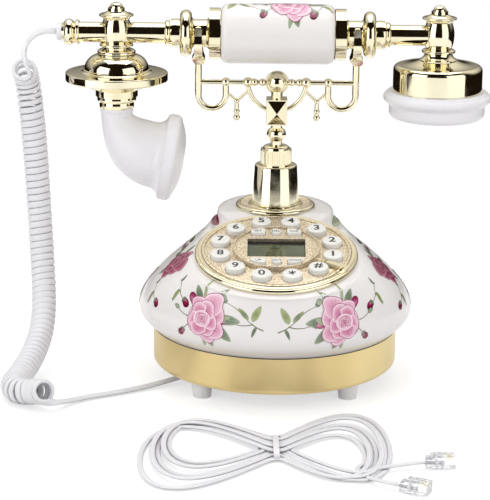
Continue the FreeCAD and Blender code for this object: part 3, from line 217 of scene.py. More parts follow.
def material(name, values, *noises):
    """A new material with values set on its shader's sockets, and noises wired into others."""
    made = bpy.data.materials.new(name)
    made.use_nodes = True
    for socket, value in values.items():
        shader_of(made).inputs[socket].default_value = value
    for row in noises:
        noise(made, *row)
    return made


def wired(tree, kind, sources, **settings):
    """A new shader node's first output; its sockets get other nodes' outputs or plain values."""
    node = tree.nodes.new(kind)
    for key, value in settings.items():
        setattr(node, key, value)
    for socket, source in sources.items():
        if isinstance(source, bpy.types.NodeSocket):
            tree.links.new(source, node.inputs[socket])
        else:
            node.inputs[socket].default_value = source
    return node.outputs[0] if node.outputs else None


def texture(made, kind, scale, stretch=(1, 1, 1), values=None, **settings):
    """The value of a procedural texture in the object's own coordinates."""
    place = made.node_tree.nodes.new("ShaderNodeTexCoord").outputs["Object"]
    mapping = wired(made.node_tree, "ShaderNodeMapping", {"Vector": place, "Scale": stretch})
    sources = {"Vector": mapping, "Scale": scale, **(values or {})}
    return wired(made.node_tree, kind, sources, **settings)


def stepped(tree, source, stops):
    """Colours along a value, each at its own stop."""
    node = tree.nodes.new("ShaderNodeValToRGB")
    elements = node.color_ramp.elements
    while len(elements) < len(stops):
        elements.new(0.5)
    for element, (place, colour) in zip(elements, stops):
        element.position = place
        element.color = (*colour, 1)
    tree.links.new(source, node.inputs["Fac"])
    return node.outputs["Color"]


def into_shader(made, source, socket):
    """Wires an output into a socket of a material's main shader."""
    made.node_tree.links.new(source, shader_of(made).inputs[socket])


def grey(value):
    """A colour with three equal parts."""
    return (value, value, value)


def bump(made, source, strength, distance, **more):
    """Relief from a texture's value."""
    sources = {"Height": source, "Strength": strength, "Distance": distance, **more}
    into_shader(made, wired(made.node_tree, "ShaderNodeBump", sources), "Normal")


def noise(made, scale, detail, low, high, into, at=(0.3, 0.7), stretch=(1, 1, 1)):
    """Noise between two colours or values, wired into a socket of the shader."""
    grain = texture(made, "ShaderNodeTexNoise", scale, stretch, {"Detail": detail})
    into_shader(made, stepped(made.node_tree, grain, ((at[0], low), (at[1], high))), into)
    return grain


def brushed_gold():
    """Gold brushed round the band, with soft upright panes of tone in its colour that are painted reflection.
    """
    made = material("brushed_gold", {"Metallic": 1.0, "Anisotropic": 0.3})
    grain = texture(made, "ShaderNodeTexNoise", 60, (1, 1, 22), {"Detail": 6.0, "Roughness": 0.7})
    # Painted reflection: broad upright panes of lighter and darker gold in the base colour.
    noise(made, 22, 1.0, (0.68, 0.53, 0.25), (0.79, 0.64, 0.32), "Base Color", (0.35, 0.65), (1, 1, 0.05))
    noise(made, 30, 5.0, grey(0.29), grey(0.35), "Roughness", stretch=(1, 1, 12))
    bump(made, grain, 0.03, 0.00006)
    return made


def embossed_gold():
    """Pale gold with a pressed pebble pattern, and painted shade that darkens its hollows."""
    made = material("embossed_gold", {"Metallic": 1.0})
    pebbles = texture(made, "ShaderNodeTexVoronoi", 1150, feature="SMOOTH_F1", values={"Smoothness": 0.5})
    # Painted shade: the colour darkens towards the hollows between the pebbles.
    stops = ((0.05, (0.95, 0.87, 0.75)), (0.5, (0.89, 0.79, 0.64)), (0.85, (0.5, 0.36, 0.2)))
    into_shader(made, stepped(made.node_tree, pebbles, stops), "Base Color")
    noise(made, 900, 2.0, grey(0.34), grey(0.48), "Roughness")
    bump(made, pebbles, 0.75, 0.0003)
    return made


def glazed_ceramic(name, softened=0.0):
    """White glaze; a softened one rounds the light over edges within a distance."""
    made = material(name, {
        "Roughness": 0.24, "Coat Weight": 0.25, "Coat Roughness": 0.08, "Specular IOR Level": 0.4})
    noise(made, 9, 2.0, (0.86, 0.82, 0.805), (0.89, 0.86, 0.85), "Base Color")
    peel = texture(made, "ShaderNodeTexNoise", 260, values={"Detail": 2.0})
    more = {}
    if softened:
        more["Normal"] = wired(made.node_tree, "ShaderNodeBevel", {"Radius": softened}, samples=8)
    bump(made, peel, 0.03, 0.0002, **more)
    return made


def grained(made, rough, scale, relief):
    """A faint moulded grain in a material's gloss and relief."""
    grain = noise(made, scale, 3.0, grey(rough - 0.05), grey(rough + 0.07), "Roughness")
    bump(made, grain, relief, 0.0001)


def moulded(name, low, high, rough, scale=900.0, relief=0.05, extra=None):
    """Moulded plastic with a faint grain and a slightly uneven tone."""
    made = material(name, extra or {}, (14, 2.0, low, high, "Base Color"))
    grained(made, rough, scale, relief)
    return made


def cord_plastic():
    """White cord with painted shade: its colour turns grey where its turns lie close together."""
    painted_shade_tone, open_tone = (0.42, 0.42, 0.45), (0.82, 0.815, 0.84)
    made = material("cord_white", {"Base Color": (*open_tone, 1)})
    # Painted shade: ambient occlusion greys the cord's colour in the narrow gaps between its turns.
    gaps = made.node_tree.nodes.new("ShaderNodeAmbientOcclusion")
    gaps.samples = 8
    gaps.inputs["Distance"].default_value = 5 * MM
    stops = ((0.25, painted_shade_tone), (0.8, open_tone))
    into_shader(made, stepped(made.node_tree, gaps.outputs["AO"], stops), "Base Color")
    grained(made, 0.36, 700, 0.08)
    return made


def painted():
    """Glazed colours painted on the ceramic, kept in the mesh's own colour layer."""
    made = material("painted_enamel", {"Roughness": 0.16, "Coat Weight": 0.6, "Coat Roughness": 0.04})
    layer = wired(made.node_tree, "ShaderNodeVertexColor", {}, layer_name="paint")
    into_shader(made, layer, "Base Color")
    noise(made, 1400, 2.0, grey(0.12), grey(0.22), "Roughness")
    return made


def clear_plastic(name, rough, share, tint):
    """Clear moulded plastic; a share below one leaves it milky."""
    values = {"Transmission Weight": share, "IOR": 1.49, "Base Color": (*tint, 1)}
    return material(name, values, (300, 2.0, grey(rough), grey(rough + 0.06), "Roughness"))


# Plated gold with faint smears
GOLD = material(
    "polished_gold", {"Metallic": 1.0, "Roughness": 0.07},
    (45, 3.0, (0.9, 0.82, 0.58), (0.95, 0.89, 0.68), "Base Color"),
    (160, 4.0, grey(0.05), grey(0.11), "Roughness", (0.35, 0.75)))
BRUSHED = brushed_gold()
EMBOSSED = embossed_gold()
CERAMIC = glazed_ceramic("glazed_ceramic")
BODY_CERAMIC = glazed_ceramic("glazed_body", 8 * MM)
WHITE = moulded("white_plastic", (0.83, 0.815, 0.845), (0.87, 0.855, 0.88), 0.3)
KEY_WHITE = moulded("key_white", (0.83, 0.82, 0.78), (0.87, 0.86, 0.82), 0.26)
CORD = cord_plastic()
CLEAR = clear_plastic("clear_plastic", 0.1, 0.74, (0.93, 0.94, 0.955))
WINDOW = clear_plastic("display_window", 0.01, 1.0, (0.97, 0.985, 0.98))
# The grey-green of a display that is off
DISPLAY = material(
    "display_green", {"Roughness": 0.3}, (60, 2.0, (0.17, 0.215, 0.1), (0.22, 0.27, 0.14), "Base Color"))
DARK = moulded("dark_plastic", (0.012, 0.012, 0.013), (0.02, 0.02, 0.021), 0.4)
STEEL = moulded("steel", grey(0.5), grey(0.6), 0.3, 500, 0.05, {"Metallic": 1.0})
BOARD = moulded("circuit_board", (0.02, 0.09, 0.04), (0.03, 0.12, 0.05), 0.45)
MAT = moulded("rubber_mat", grey(0.3), grey(0.36), 0.6)
INK = moulded("black_ink", (0.012, 0.012, 0.014), (0.022, 0.022, 0.024), 0.35, 1500, 0.1)
PAINT = painted()

BY_SLOT = {
    "gold_polished": GOLD, "gold_brushed": BRUSHED, "ceramic": CERAMIC, "white_plastic": WHITE,
    "cord_white": CORD, "clear_plastic": CLEAR, "display": DISPLAY, "window": WINDOW,
    "dark_plastic": DARK, "steel": STEEL, "board": BOARD, "mat": MAT,
}
BY_NODE = {"dial_plate": EMBOSSED, "dial_centre_plate": EMBOSSED, "ceramic_body": BODY_CERAMIC}


def dress_nodes():
    """Every CAD node gets the material of its slot, or its own."""
    for name, node in NODES.items():
        slot = node.material_slots[0].material.name.split(".")[0]
        is_key = name.startswith(("key_", "function_")) and name != "key_mat"
        made = KEY_WHITE if is_key else BY_NODE.get(name) or BY_SLOT[slot]
        node.data.materials.clear()
        node.data.materials.append(made)


dress_nodes()


# Handset cord: lead, curls and tail in one flat cord

LEAD_POINTS = (
    (-134.8, 45, 207.4), (-139, 45, 208), (-146, 45, 208.4), (-153, 44.6, 204.6), (-157, 43, 198.6),
    (-157.6, 37.4, 195), (-156.6, 32.6, 191.6), (-155.2, 31, 187.4), (-153.6, 31, 183.6), (-152.6, 32, 181))
CURL_POINTS = (
    (-157.4, 34, 185.2), (-157.1, 38.5, 183.6), (-156.4, 42.8, 178), (-155.4, 44.8, 170), (-154.4, 45, 160),
    (-152.6, 45, 140), (-151, 44, 114), (-149.6, 42, 88),
    (-147.9, 37, 62), (-146, 27, 40), (-146, 12, 25), (-148.6, -5, 16.5), (-152.4, -22, 11.2),
    (-156.4, -38, 8.6), (-158.8, -50, 8.1), (-157, -58, 8), (-152.4, -64.4, 8.4), (-146, -68.2, 9.6),
    (-140.4, -72, 11.2), (-136.8, -78.6, 13))
TAIL_POINTS = (
    (-132.4, -78, 6.6), (-128.6, -72, 4.6), (-123, -62.5, 2.2), (-113, -53.5, 1.75), (-97, -45.5, 1.75),
    (-79, -34, 1.75), (-62, -23, 3.2), (-47, -13, 5.2), (-36, -6, 5.2))
LEAD_STEP = 1.2 * MM
TAIL_STEP = 1.6 * MM
CURL_RADIUS = 6.6 * MM
CURL_PITCH = 4.35 * MM
CURL_WIDTH = 4.2 * MM
CURL_THICK = 2.4 * MM
PER_TURN = 22
# The first turns are narrower: between which points, counted from the first curl, and by how much
NARROW_AT = (-12, 4, 5 * PER_TURN, 8 * PER_TURN)
NARROW_SHARE = 0.66
# How many points each side of a joint are smoothed, and how often
LINE_EASE = (7, 6)
SIDE_EASE = (12, 14)
# The way the cord's width points: at the lead's start, from LEAD_TWIST of the lead on, and in the tail
UPRIGHT = np.array((0.0, 0.2, 1.0))
BACKWARD = np.array((0.1, 1.0, 0.1))
LEAD_TWIST = 1 / 1.7
TAIL_SIDE = (-0.5, 0.8, 0.0)
# The way from the coil's axis to its first and last points
FIRST_AIM = np.array((0.7, -0.28, -0.65))
LAST_AIM = np.array((0.2, -0.1, -0.97))


def carried_frames(line):
    """A direction across the line at each point, carried along with no twist."""
    ahead = tangents(line)
    first = ACROSS - Vector(ahead[0]) * ahead[0][0]
    across = [np.array(first.normalized())]
    for i in range(1, len(line)):
        turned = across[-1] - (across[-1] @ ahead[i]) * ahead[i]
        across.append(turned / np.linalg.norm(turned))
    return ahead, np.array(across)


def curls(axis):
    """The turns of the curly cord about its axis, and the axis direction at each point."""
    length = along(axis)[-1]
    count = round(length / CURL_PITCH) * PER_TURN
    axis = evenly(axis, length / count)
    ahead, across = carried_frames(axis)
    beside = np.cross(ahead, across)
    first = math.atan2(FIRST_AIM @ beside[0], FIRST_AIM @ across[0])
    last = math.atan2(LAST_AIM @ beside[-1], LAST_AIM @ across[-1])
    whole = 2 * math.pi * round(count / PER_TURN)
    turn = np.linspace(first, last + whole, len(axis))
    points = axis + CURL_RADIUS * (np.cos(turn)[:, None] * across + np.sin(turn)[:, None] * beside)
    return points, ahead


def handset_cord():
    """The whole cord as one ribbon, narrower in its first turns."""
    lead = evenly(spline_points([mm(p) for p in LEAD_POINTS]), LEAD_STEP)
    turns, axis = curls(spline_points([mm(p) for p in CURL_POINTS]))
    tail = evenly(spline_points([mm(p) for p in TAIL_POINTS]), TAIL_STEP)
    line = np.concatenate([lead[:-1], turns, tail[1:]])
    share = np.clip(np.linspace(0, 1 / LEAD_TWIST, len(lead) - 1), 0, 1)[:, None]
    lead_side = UPRIGHT * (1 - share) + BACKWARD * share
    side = np.concatenate([lead_side, axis, np.tile(TAIL_SIDE, (len(tail) - 1, 1))])
    joints = (len(lead) - 1, len(lead) - 1 + len(turns))
    ease(line, joints, *LINE_EASE)
    ease(side, joints, *SIDE_EASE, unit)
    from_join = np.arange(len(line)) - joints[0]
    width = np.interp(from_join, NARROW_AT, (1, NARROW_SHARE, NARROW_SHARE, 1))
    ribbon = ribbon_mesh(line, side, CURL_WIDTH, CURL_THICK, share=width)
    cord = mesh_object("handset_cord", *ribbon, CORD, None)
    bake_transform(cord)
    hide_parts("cord_lead", "curly_cord", "cord_tail")


handset_cord()


# Spare line cord in a tied figure of eight

# Each plug: x, y, its turn in degrees, z
PLUG_PLACES = ((85.8, -162.7, 6, 3.64), (69.6, -198.9, -24, 3.64))
FROM_FIRST_PLUG = [(70, -165, 2.8), (56, -171, 3.2)]
TO_LAST_PLUG = [(44, -166, 1.2), (46, -179, 1.4)]
# The strands in the tie: y of the first from the tie's middle, and the step from one to the next
TIE_Y = -140.0
STRAND_FIRST = 10.5
STRAND_STEP = 5.2
# Heights of the lower and the upper strands, and how much higher every second one lies
LOW_STRAND = (1.2, 0.5)
HIGH_STRAND = (3.6, 0.6)
# Each pass of a lobe: reach along x, reach along y, shift of its far end along y, height of its far end
RIGHT_LOBES = (
    (66.5, 47, -6, 3.4), (64.5, 51, -3, 1.2), (60, 45.5, -1, 3.2), (56.5, 42, 1, 1.2), (52.5, 37, 2, 2.9),
    (50, 34, 2, 1.2))
LEFT_LOBES = (
    (61.5, 33, 1, 1.2), (64.5, 38, 1, 2.9), (67.5, 42, -1, 1.2), (70.5, 45, 0, 3.0), (77, 48.5, -4, 1.2))
STEPS = 16
LINE_STEP = 1.5 * MM
LINE_WIDTH = 3.3 * MM
LINE_THICK = 1.8 * MM
# The tie: its first and last angles, half its size along x, y and z, and the height of its middle
TIE_TURN = (-0.6, 4 * math.pi + 0.5)
TIE_HALF = (1.6, 15.2, 2.9)
TIE_HEIGHT = 3.3
TIE_WIDTH = 2.0 * MM
TIE_THICK = 0.7 * MM
TIE_SQUARE = 0.75


def lobe(spec, start, stop, side, first, last):
    """Points round one lobe of the eight, from its tie place at the start to the one at its end."""
    reach, spread, shift, height = spec
    points = []
    for i in range(first, last):
        turn = math.pi * i / STEPS
        far = math.sin(turn)
        share = (1 - math.cos(turn)) / 2
        tie_y = start[0] + (stop[0] - start[0]) * share
        tie_z = start[1] + (stop[1] - start[1]) * share
        x = side * reach * far
        y = TIE_Y + tie_y + shift * far ** 2 + side * spread * math.sin(2 * turn)
        points.append((x, y, tie_z + (height - tie_z) * far ** 0.7))
    return points


def heading(turn):
    """The directions ahead of a plug and to its left, from its turn in degrees."""
    return [Vector((*way, 0)) for way in axes(turn)]


def behind(plug, distances):
    """Points on a plug's axis, at distances behind its place."""
    x, y, turn, z = plug
    ahead, _ = heading(turn)
    return [tuple(Vector((x, y, z)) - ahead * d) for d in distances]


def line_route():
    """The route from one plug, through five turns of the eight, to the other plug."""
    count = len(LEFT_LOBES)
    gaps = [STRAND_FIRST - STRAND_STEP * k for k in range(count)]
    low, high = (
        [(gap, first + more * (k % 2)) for k, gap in enumerate(gaps)]
        for first, more in (LOW_STRAND, HIGH_STRAND))
    points = behind(PLUG_PLACES[0], (-7, 0, 7)) + FROM_FIRST_PLUG
    points += lobe(RIGHT_LOBES[0], low[0], low[0], 1, STEPS * 3 // 4, STEPS)
    for k in range(count):
        points += lobe(LEFT_LOBES[k], low[k], high[k], -1, 0, STEPS)
        end = STEPS * 5 // 8 if k == count - 1 else STEPS
        points += lobe(RIGHT_LOBES[k + 1], high[k], low[min(k + 1, count - 1)], 1, 0, end)
    return points + TO_LAST_PLUG + behind(PLUG_PLACES[1], (13, 5, 0, -7))


def line_cord():
    """The hank as one flat cord from plug to plug, with its tie."""
    line = evenly(spline_points([mm(p) for p in line_route()], 8), LINE_STEP)
    side = unit(np.cross(UP, tangents(line)))
    ribbon = ribbon_mesh(line, side, LINE_WIDTH, LINE_THICK, 12, 2.6)
    cord = mesh_object("line_cord_hank", *ribbon, CORD, "base")
    tie = cord_tie()
    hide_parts("line_cord")


def cord_tie():
    """The white twist tie round the middle of the hank: two turns of a thin flat strip."""
    turn = np.linspace(*TIE_TURN, 120)
    x = TIE_HALF[0] * np.linspace(-1, 1, len(turn))
    y = TIE_HALF[1] * signed_power(np.cos(turn), TIE_SQUARE) + TIE_Y
    z = TIE_HALF[2] * signed_power(np.sin(turn), TIE_SQUARE) + TIE_HEIGHT
    line = np.stack([x, y, z], axis=1) * MM
    return mesh_object("cord_tie", *ribbon_mesh(line, ACROSS, TIE_WIDTH, TIE_THICK, 10), WHITE, "base")


line_cord()


# Boxes in each plug: from and to ahead of its place, to its left, and up
BLADES = tuple((8.4, 11.6, k - 0.28, k + 0.28, 1.9, 3.15) for k in (-1.8, -0.6, 0.6, 1.8))
CORES = ((1.6, 3.4, -3.2, 3.2, -1.9, 1.9), (5.4, 6.6, -3.4, 3.4, -2.2, 0.9))
BOX_FACES = ((0, 1, 3, 2), (4, 6, 7, 5), (0, 4, 5, 1), (2, 3, 7, 6), (0, 2, 6, 4), (1, 5, 7, 3))


def boxes_in(plug, boxes):
    """The points and faces of boxes that are written in a plug's own directions."""
    x, y, turn, z = plug
    ahead, left = heading(turn)
    points, faces = [], []
    for near, far, right_end, left_end, low, high in boxes:
        start = len(points)
        corners = [(a, b, c) for a in (near, far) for b in (right_end, left_end) for c in (low, high)]
        points += [mm(Vector((x, y, z)) + ahead * a + left * b + UP * c) for a, b, c in corners]
        faces += [tuple(start + i for i in loop) for loop in BOX_FACES]
    return points, faces


def plug_contacts():
    """Four gold blades near the nose of each plug, and two white blocks behind them."""
    for index, plug in enumerate(PLUG_PLACES):
        for name, made, slot, boxes in (
                ("contacts", GOLD, "gold_polished", BLADES), ("core", WHITE, "white_plastic", CORES)):
            piece = mesh_object(f"plug_{name}_{index}", *boxes_in(plug, boxes), made, "base", False)


plug_contacts()


# Painted sprays on the ceramic. Every shape is drawn flat, in millimetres, and laid on the surface.


def tone(red, green, blue):
    """A paint colour written as display values."""
    return np.array([((c / 255 + 0.055) / 1.055) ** 2.4 for c in (red, green, blue)])


# Each bloom's colours: deep, middle, light and rim
PINKS = (tone(164, 58, 106), tone(202, 108, 150), tone(226, 160, 188), tone(248, 224, 233))
WINES = (tone(80, 4, 34), tone(124, 12, 58), tone(150, 26, 78), tone(216, 136, 168))
LEAF_DARK, LEAF, LEAF_LIGHT, LEAF_GOLD = (
    tone(82, 98, 84), tone(116, 132, 106), tone(164, 176, 146), tone(160, 168, 84))
STEM = tone(112, 120, 70)
YOUNG_LEAF = (LEAF_GOLD, LEAF_LIGHT, LEAF_LIGHT)
PALE_LEAF = (LEAF, LEAF_LIGHT, LEAF_LIGHT)
PINK_BUD = (PINKS[1], PINKS[0], WINES[1])
# Rings of points between a shape's middle and its rim, as shares of the way
RINGS = (0.0, 0.3, 0.58, 0.8, 0.93, 1.0)
# Angles round a shape's rim, and how far along the shape each of them lies
RIM_POINTS = 26
RIM_TURN = np.arange(RIM_POINTS) * 2 * math.pi / RIM_POINTS
RIM_FAR = (1 - np.cos(RIM_TURN)) / 2
# Petals of a bloom: aim in degrees, length, width, curl
OUTER_PETALS = (
    (140, 0.86, 0.8, 0.1), (196, 0.94, 0.84, -0.1), (-96, 1.0, 0.86, 0.16), (-44, 1.02, 0.86, -0.14),
    (8, 0.98, 0.78, 0.12), (60, 1.3, 0.92, -0.16), (102, 1.04, 0.78, 0.14))
INNER_PETALS = (
    (-76, 0.74, 0.8, 0.14), (-10, 0.72, 0.74, -0.14), (48, 0.86, 0.78, 0.14), (112, 0.72, 0.8, -0.12),
    (176, 0.7, 0.76, 0.12), (238, 0.72, 0.78, -0.12))
PETAL_SPREAD = 1.1
# Crescents in a bloom's heart: reach, start and span in degrees, thickness
CRESCENTS = (
    (0.86, 20, 190, 0.3), (0.8, 205, 170, 0.28), (0.62, 100, 200, 0.26), (0.56, 300, 170, 0.24),
    (0.38, 40, 210, 0.2), (0.3, 230, 170, 0.18), (0.16, 0, 250, 0.14))
HEART_FLAT = np.array((1, 0.86))
# How far above the glaze its surface is searched from
RAY_HEIGHT = 25 * MM
# How high the first shape of a spray lies on the glaze, and each next one above it
FIRST_LIFT = 0.03 * MM
NEXT_LIFT = 0.006 * MM


class Spray:
    """Flat painted shapes gathered in order, each over the ones before it."""

    def __init__(self):
        self.shapes = []

    def patch(self, outline, middle, colours):
        """A filled outline whose colours run from its middle to its rim."""
        stops = np.linspace(0, 1, len(colours))
        rings = [middle + (outline - middle) * f for f in RINGS[1:]]
        points = np.concatenate([[middle]] + rings)
        shades = [[np.interp(f, stops, [c[k] for c in colours]) for k in range(3)] for f in RINGS]
        count = len(outline)
        paint = np.array(shades[:1] + [shade for shade in shades[1:] for _ in range(count)])
        faces = [(0, 1 + j, 1 + (j + 1) % count) for j in range(count)]
        faces += ring_faces(len(rings), count, 1)
        self.shapes.append((points, faces, paint))

    def petal(self, root, aim, length, width, colours, point=0.12, curl=0.0, wave=0.05, edge=None):
        """A petal from its root along an aim in degrees, with a pointed or wavy tip and a drawn edge."""
        root = np.asarray(root)
        way, side = axes(aim)
        swell = (0.72 + 0.56 * RIM_FAR) * (1 + wave * np.sin(5 * RIM_TURN + aim))
        across = np.sin(RIM_TURN) * width / 2 * swell + curl * length * RIM_FAR ** 2
        tip = point * np.maximum(0, RIM_FAR - 0.8) * 2
        ahead = length * (RIM_FAR + tip + wave * 0.5 * np.sin(3 * RIM_TURN + aim))
        outline = root + ahead[:, None] * way + across[:, None] * side
        middle = root + way * length * 0.42 + side * curl * length * 0.18
        self.patch(outline, middle, colours)
        if edge is not None:
            self.stroke(middle + (outline[6:RIM_POINTS // 2 + 6] - middle) * 1.015, width * 0.045, edge)

    def leaf(self, root, aim, length, width, colours=(LEAF_DARK, LEAF, LEAF, LEAF_LIGHT), curl=0.1):
        """A leaf with its midrib."""
        root = np.asarray(root)
        way, side = axes(aim)
        across = signed_power(np.sin(RIM_TURN), 1.3) * width / 2 * (1.15 - 0.4 * RIM_FAR)
        across = across + curl * length * RIM_FAR ** 2
        outline = root + (RIM_FAR * length)[:, None] * way + across[:, None] * side
        middle = root + way * length * 0.45 + side * curl * length * 0.2
        self.patch(outline, middle, colours)
        rib = [root + (way * f + side * curl * f ** 2) * length for f in np.linspace(0, 0.9, 6)]
        self.stroke(rib, width * 0.09, LEAF_LIGHT)

    def stroke(self, line, width, colour):
        """A thin brush stroke along a line, tapered to its end."""
        line = np.asarray(line, float)
        ahead = tangents(line)
        side = np.stack([-ahead[:, 1], ahead[:, 0]], axis=1)
        wide = width / 2 * np.linspace(1, 0.45, len(line))[:, None]
        points = np.concatenate([line + side * wide, line - side * wide])
        count = len(line)
        faces = [(i, i + 1, count + i + 1, count + i) for i in range(count - 1)]
        self.shapes.append((points, faces, np.tile(colour, (len(points), 1))))

    def stem(self, start, end, bow, width=0.7):
        """A bowed stem from a start to an end."""
        start, end = np.asarray(start, float), np.asarray(end, float)
        across = np.array((start[1] - end[1], end[0] - start[0]))
        share = np.linspace(0, 1, 9)[:, None]
        self.stroke(start + (end - start) * share + across * bow * 4 * share * (1 - share), width, STEM)

    def bud(self, place, aim, size, colours=WINES[2::-1]):
        """A closed bud in its green cup."""
        place = np.asarray(place, float)
        self.petal(place, aim, size, size * 0.72, colours, 0.1, 0.0, 0.02)
        streak = (PINKS[2], *colours[:2])
        self.petal(place + 0.1, aim + 12, size * 0.86, size * 0.34, streak, 0.1, 0.06, 0.0)
        for turn in (-52, 0, 50):
            length = size * (0.42 if turn else 0.34)
            self.leaf(place, aim + turn, length, size * 0.24, (LEAF, LEAF, LEAF_DARK), 0.0)

    def whorl(self, place, size, colours, lean):
        """The rolled heart of a bloom: crescents that wind inwards."""
        deep, mid, light, rim = colours
        half = RIM_POINTS // 2
        cup = round_points(RIM_TURN) * HEART_FLAT * size
        self.patch(place + cup, place, (deep, mid, light, rim))
        for index, (reach, start, span, thick) in enumerate(CRESCENTS):
            way = round_points(np.radians(np.linspace(start, start + span, half) + lean)) * HEART_FLAT
            swell = np.sin(np.linspace(0, math.pi, half))[:, None] * thick
            outer, inner = way * reach, way * (reach - swell)
            ring = np.concatenate([outer, inner[::-1]]) * size
            heart = (outer[half // 2] * 0.55 + inner[half // 2] * 0.45) * size
            fill = (light, mid, rim) if index % 2 == 0 else (mid, light, rim)
            self.patch(place + ring, place + heart, fill)
            self.stroke(place + inner * size, 0.045 * size, deep)

    def rose(self, place, size, colours, lean=0):
        """An open bloom: outer petals, a second row over them and the rolled heart."""
        deep, mid, light, rim = colours
        place = np.asarray(place, float)
        fill = (deep, mid, light, light, rim)
        for aim, length, width, curl in OUTER_PETALS:
            length, width = size * length, size * width * PETAL_SPREAD
            self.petal(place, aim + lean, length, width, fill, 0.25, curl, 0.07, deep)
            way, side = axes(aim + lean)
            for sway in (-0.09, 0.07):
                vein = [place + (way + side * sway) * f * length for f in np.linspace(0.5, 0.9, 5)]
                self.stroke(vein, size * 0.03, mid)
        heart = place + size * np.array((-0.16, -0.04))
        fill = (deep, mid, mid, light, rim)
        for aim, length, width, curl in INNER_PETALS:
            length, width = size * length, size * width * PETAL_SPREAD
            self.petal(heart, aim + lean, length, width, fill, 0.3, curl, 0.06, deep)
        self.whorl(heart + size * np.array((-0.02, 0.03)), size * 0.46, colours, lean)

    def lay(self, name, node, body, place, normal, turn=0.0, mirror=False):
        """Lays the shapes on a CAD node round a place on it, in millimetres."""
        tree = tree_of(node)
        normal = Vector(normal).normalized()
        right = UP.cross(normal).normalized()
        up = normal.cross(right)
        cos, sin = cos_sin(turn)
        points, faces, paint = [], [], []
        for order, (flat, loops, colours) in enumerate(self.shapes):
            start = len(points)
            for u, v in flat:
                u = -u if mirror else u
                u, v = u * cos - v * sin, u * sin + v * cos
                hit, facing = drop(tree, mm(place) + (right * u + up * v) * MM, normal, RAY_HEIGHT)
                points.append(hit + facing * (FIRST_LIFT + NEXT_LIFT * order))
            loops = [tuple(start + i for i in loop) for loop in loops]
            faces.extend([loop[::-1] for loop in loops] if mirror else loops)
            paint.append(colours)
        piece = mesh_object(name, points, faces, PAINT, body)
        layer = piece.data.color_attributes.new("paint", "FLOAT_COLOR", "POINT")
        colours = np.concatenate(paint)
        layer.data.foreach_set("color", np.concatenate([colours, np.ones((len(colours), 1))], axis=1).ravel())


def bouquet(spray):
    """A pink rose with leaves, two buds and a small shoot."""
    for root, aim, length, width, curl in (
            ((-4, 9), 112, 11, 5.5, 0.1), ((5, 9), 62, 12, 5.6, -0.1), ((9, 1), 8, 13, 6.5, -0.12),
            ((8, -3), -50, 12, 6, 0.12), ((2, -9), -76, 7.5, 5, 0.1), ((-7, 7), 140, 9, 5, -0.1)):
        spray.leaf(root, aim, length, width, curl=curl)
    spray.leaf((10, 0), 30, 7, 3.4, YOUNG_LEAF, 0.0)
    spray.leaf((1, -10), -110, 7, 3.2, YOUNG_LEAF, 0.0)
    spray.leaf((-2, 12), 84, 10, 2.2, (LEAF_LIGHT, LEAF_LIGHT, LEAF_GOLD), 0.15)
    spray.stem((-9, 0), (-21, 3.5), 0.12, 0.6)
    spray.leaf((-20, 3.2), 160, 4.5, 2.8, (LEAF_LIGHT, LEAF_LIGHT, LEAF), 0.0)
    spray.stem((-9, -4), (-15.5, -8.5), -0.1)
    spray.bud((-15, -8), 225, 5.5)
    spray.bud((-8, 8), 130, 7, PINK_BUD)
    spray.rose((0, 0), 12.6, PINKS, 12)


def twig(spray):
    """A forked twig with one pink bud, a pale bud and narrow leaves."""
    spray.stem((13, -6), (2, 1), 0.06, 0.8)
    spray.stem((2, 1), (-10, 9), -0.08, 0.7)
    spray.stem((7, -2.5), (-8, -2), 0.1, 0.7)
    spray.leaf((4, 0), 128, 9, 3.2, (LEAF_DARK, LEAF, LEAF_GOLD), 0.1)
    spray.leaf((6.5, -1), 70, 11, 4.6, (LEAF_DARK, LEAF_GOLD, LEAF_LIGHT), -0.1)
    spray.leaf((9, -4), 235, 7, 2.2, (LEAF_DARK, LEAF_DARK, LEAF), 0.2)
    spray.bud((-8, -2), 176, 7.5, PINK_BUD)
    spray.bud((-10, 9), 120, 5, (LEAF_LIGHT, LEAF_LIGHT, LEAF))


def deep_rose(spray):
    """A wine-red rose with a fan of grey-green leaves."""
    for root, aim, length, width, curl in (
            ((1, 6), 108, 7, 3.6, 0.14), ((-5, 6), 144, 10, 4.4, -0.1), ((6, 3), 50, 6.5, 3.4, -0.12),
            ((-8, 0), 186, 10, 4.6, 0.1), ((-3, -7), 250, 9, 4.2, 0.1)):
        spray.leaf(root, aim, length, width, curl=curl)
    spray.rose((0, 0), 10.5, WINES, -20)


def small_buds(spray):
    """A bud and two narrow leaves on a forked shoot."""
    spray.stem((-3, 7), (1, 0), 0.08, 0.7)
    spray.stem((1, 0), (6, -4), -0.1, 0.7)
    spray.stem((1, 1), (-5, -6), 0.1, 0.6)
    spray.leaf((-2, 5.5), 50, 6, 2, (LEAF_DARK, LEAF_DARK, LEAF), 0.2)
    spray.leaf((0, 1), 240, 9, 3, (LEAF_DARK, LEAF_GOLD, LEAF), 0.1)
    spray.bud((5.6, -3.6), -38, 6.5)


def shoulder_leaves(spray, top):
    """A petal in the colours given, and below it a leaf and a thin pink petal."""
    spray.petal((-9, 3.4), -4, 17, 5.4, top, 0.3)
    spray.leaf((3, -1), -12, 15, 4.2, curl=0.12)
    spray.petal((1, -4), -20, 17, 2.8, PINKS[:3], 0.35, 0.1)


def flank_leaves(spray):
    """Two long leaves and a thin pink petal."""
    spray.petal((-10, -3.5), -16, 18, 2.8, PINKS[:3], 0.35, 0.1)
    spray.leaf((-8, 1), -12, 15, 4.4, curl=0.12)
    spray.leaf((4, -3), -24, 14, 4.2, curl=-0.1)


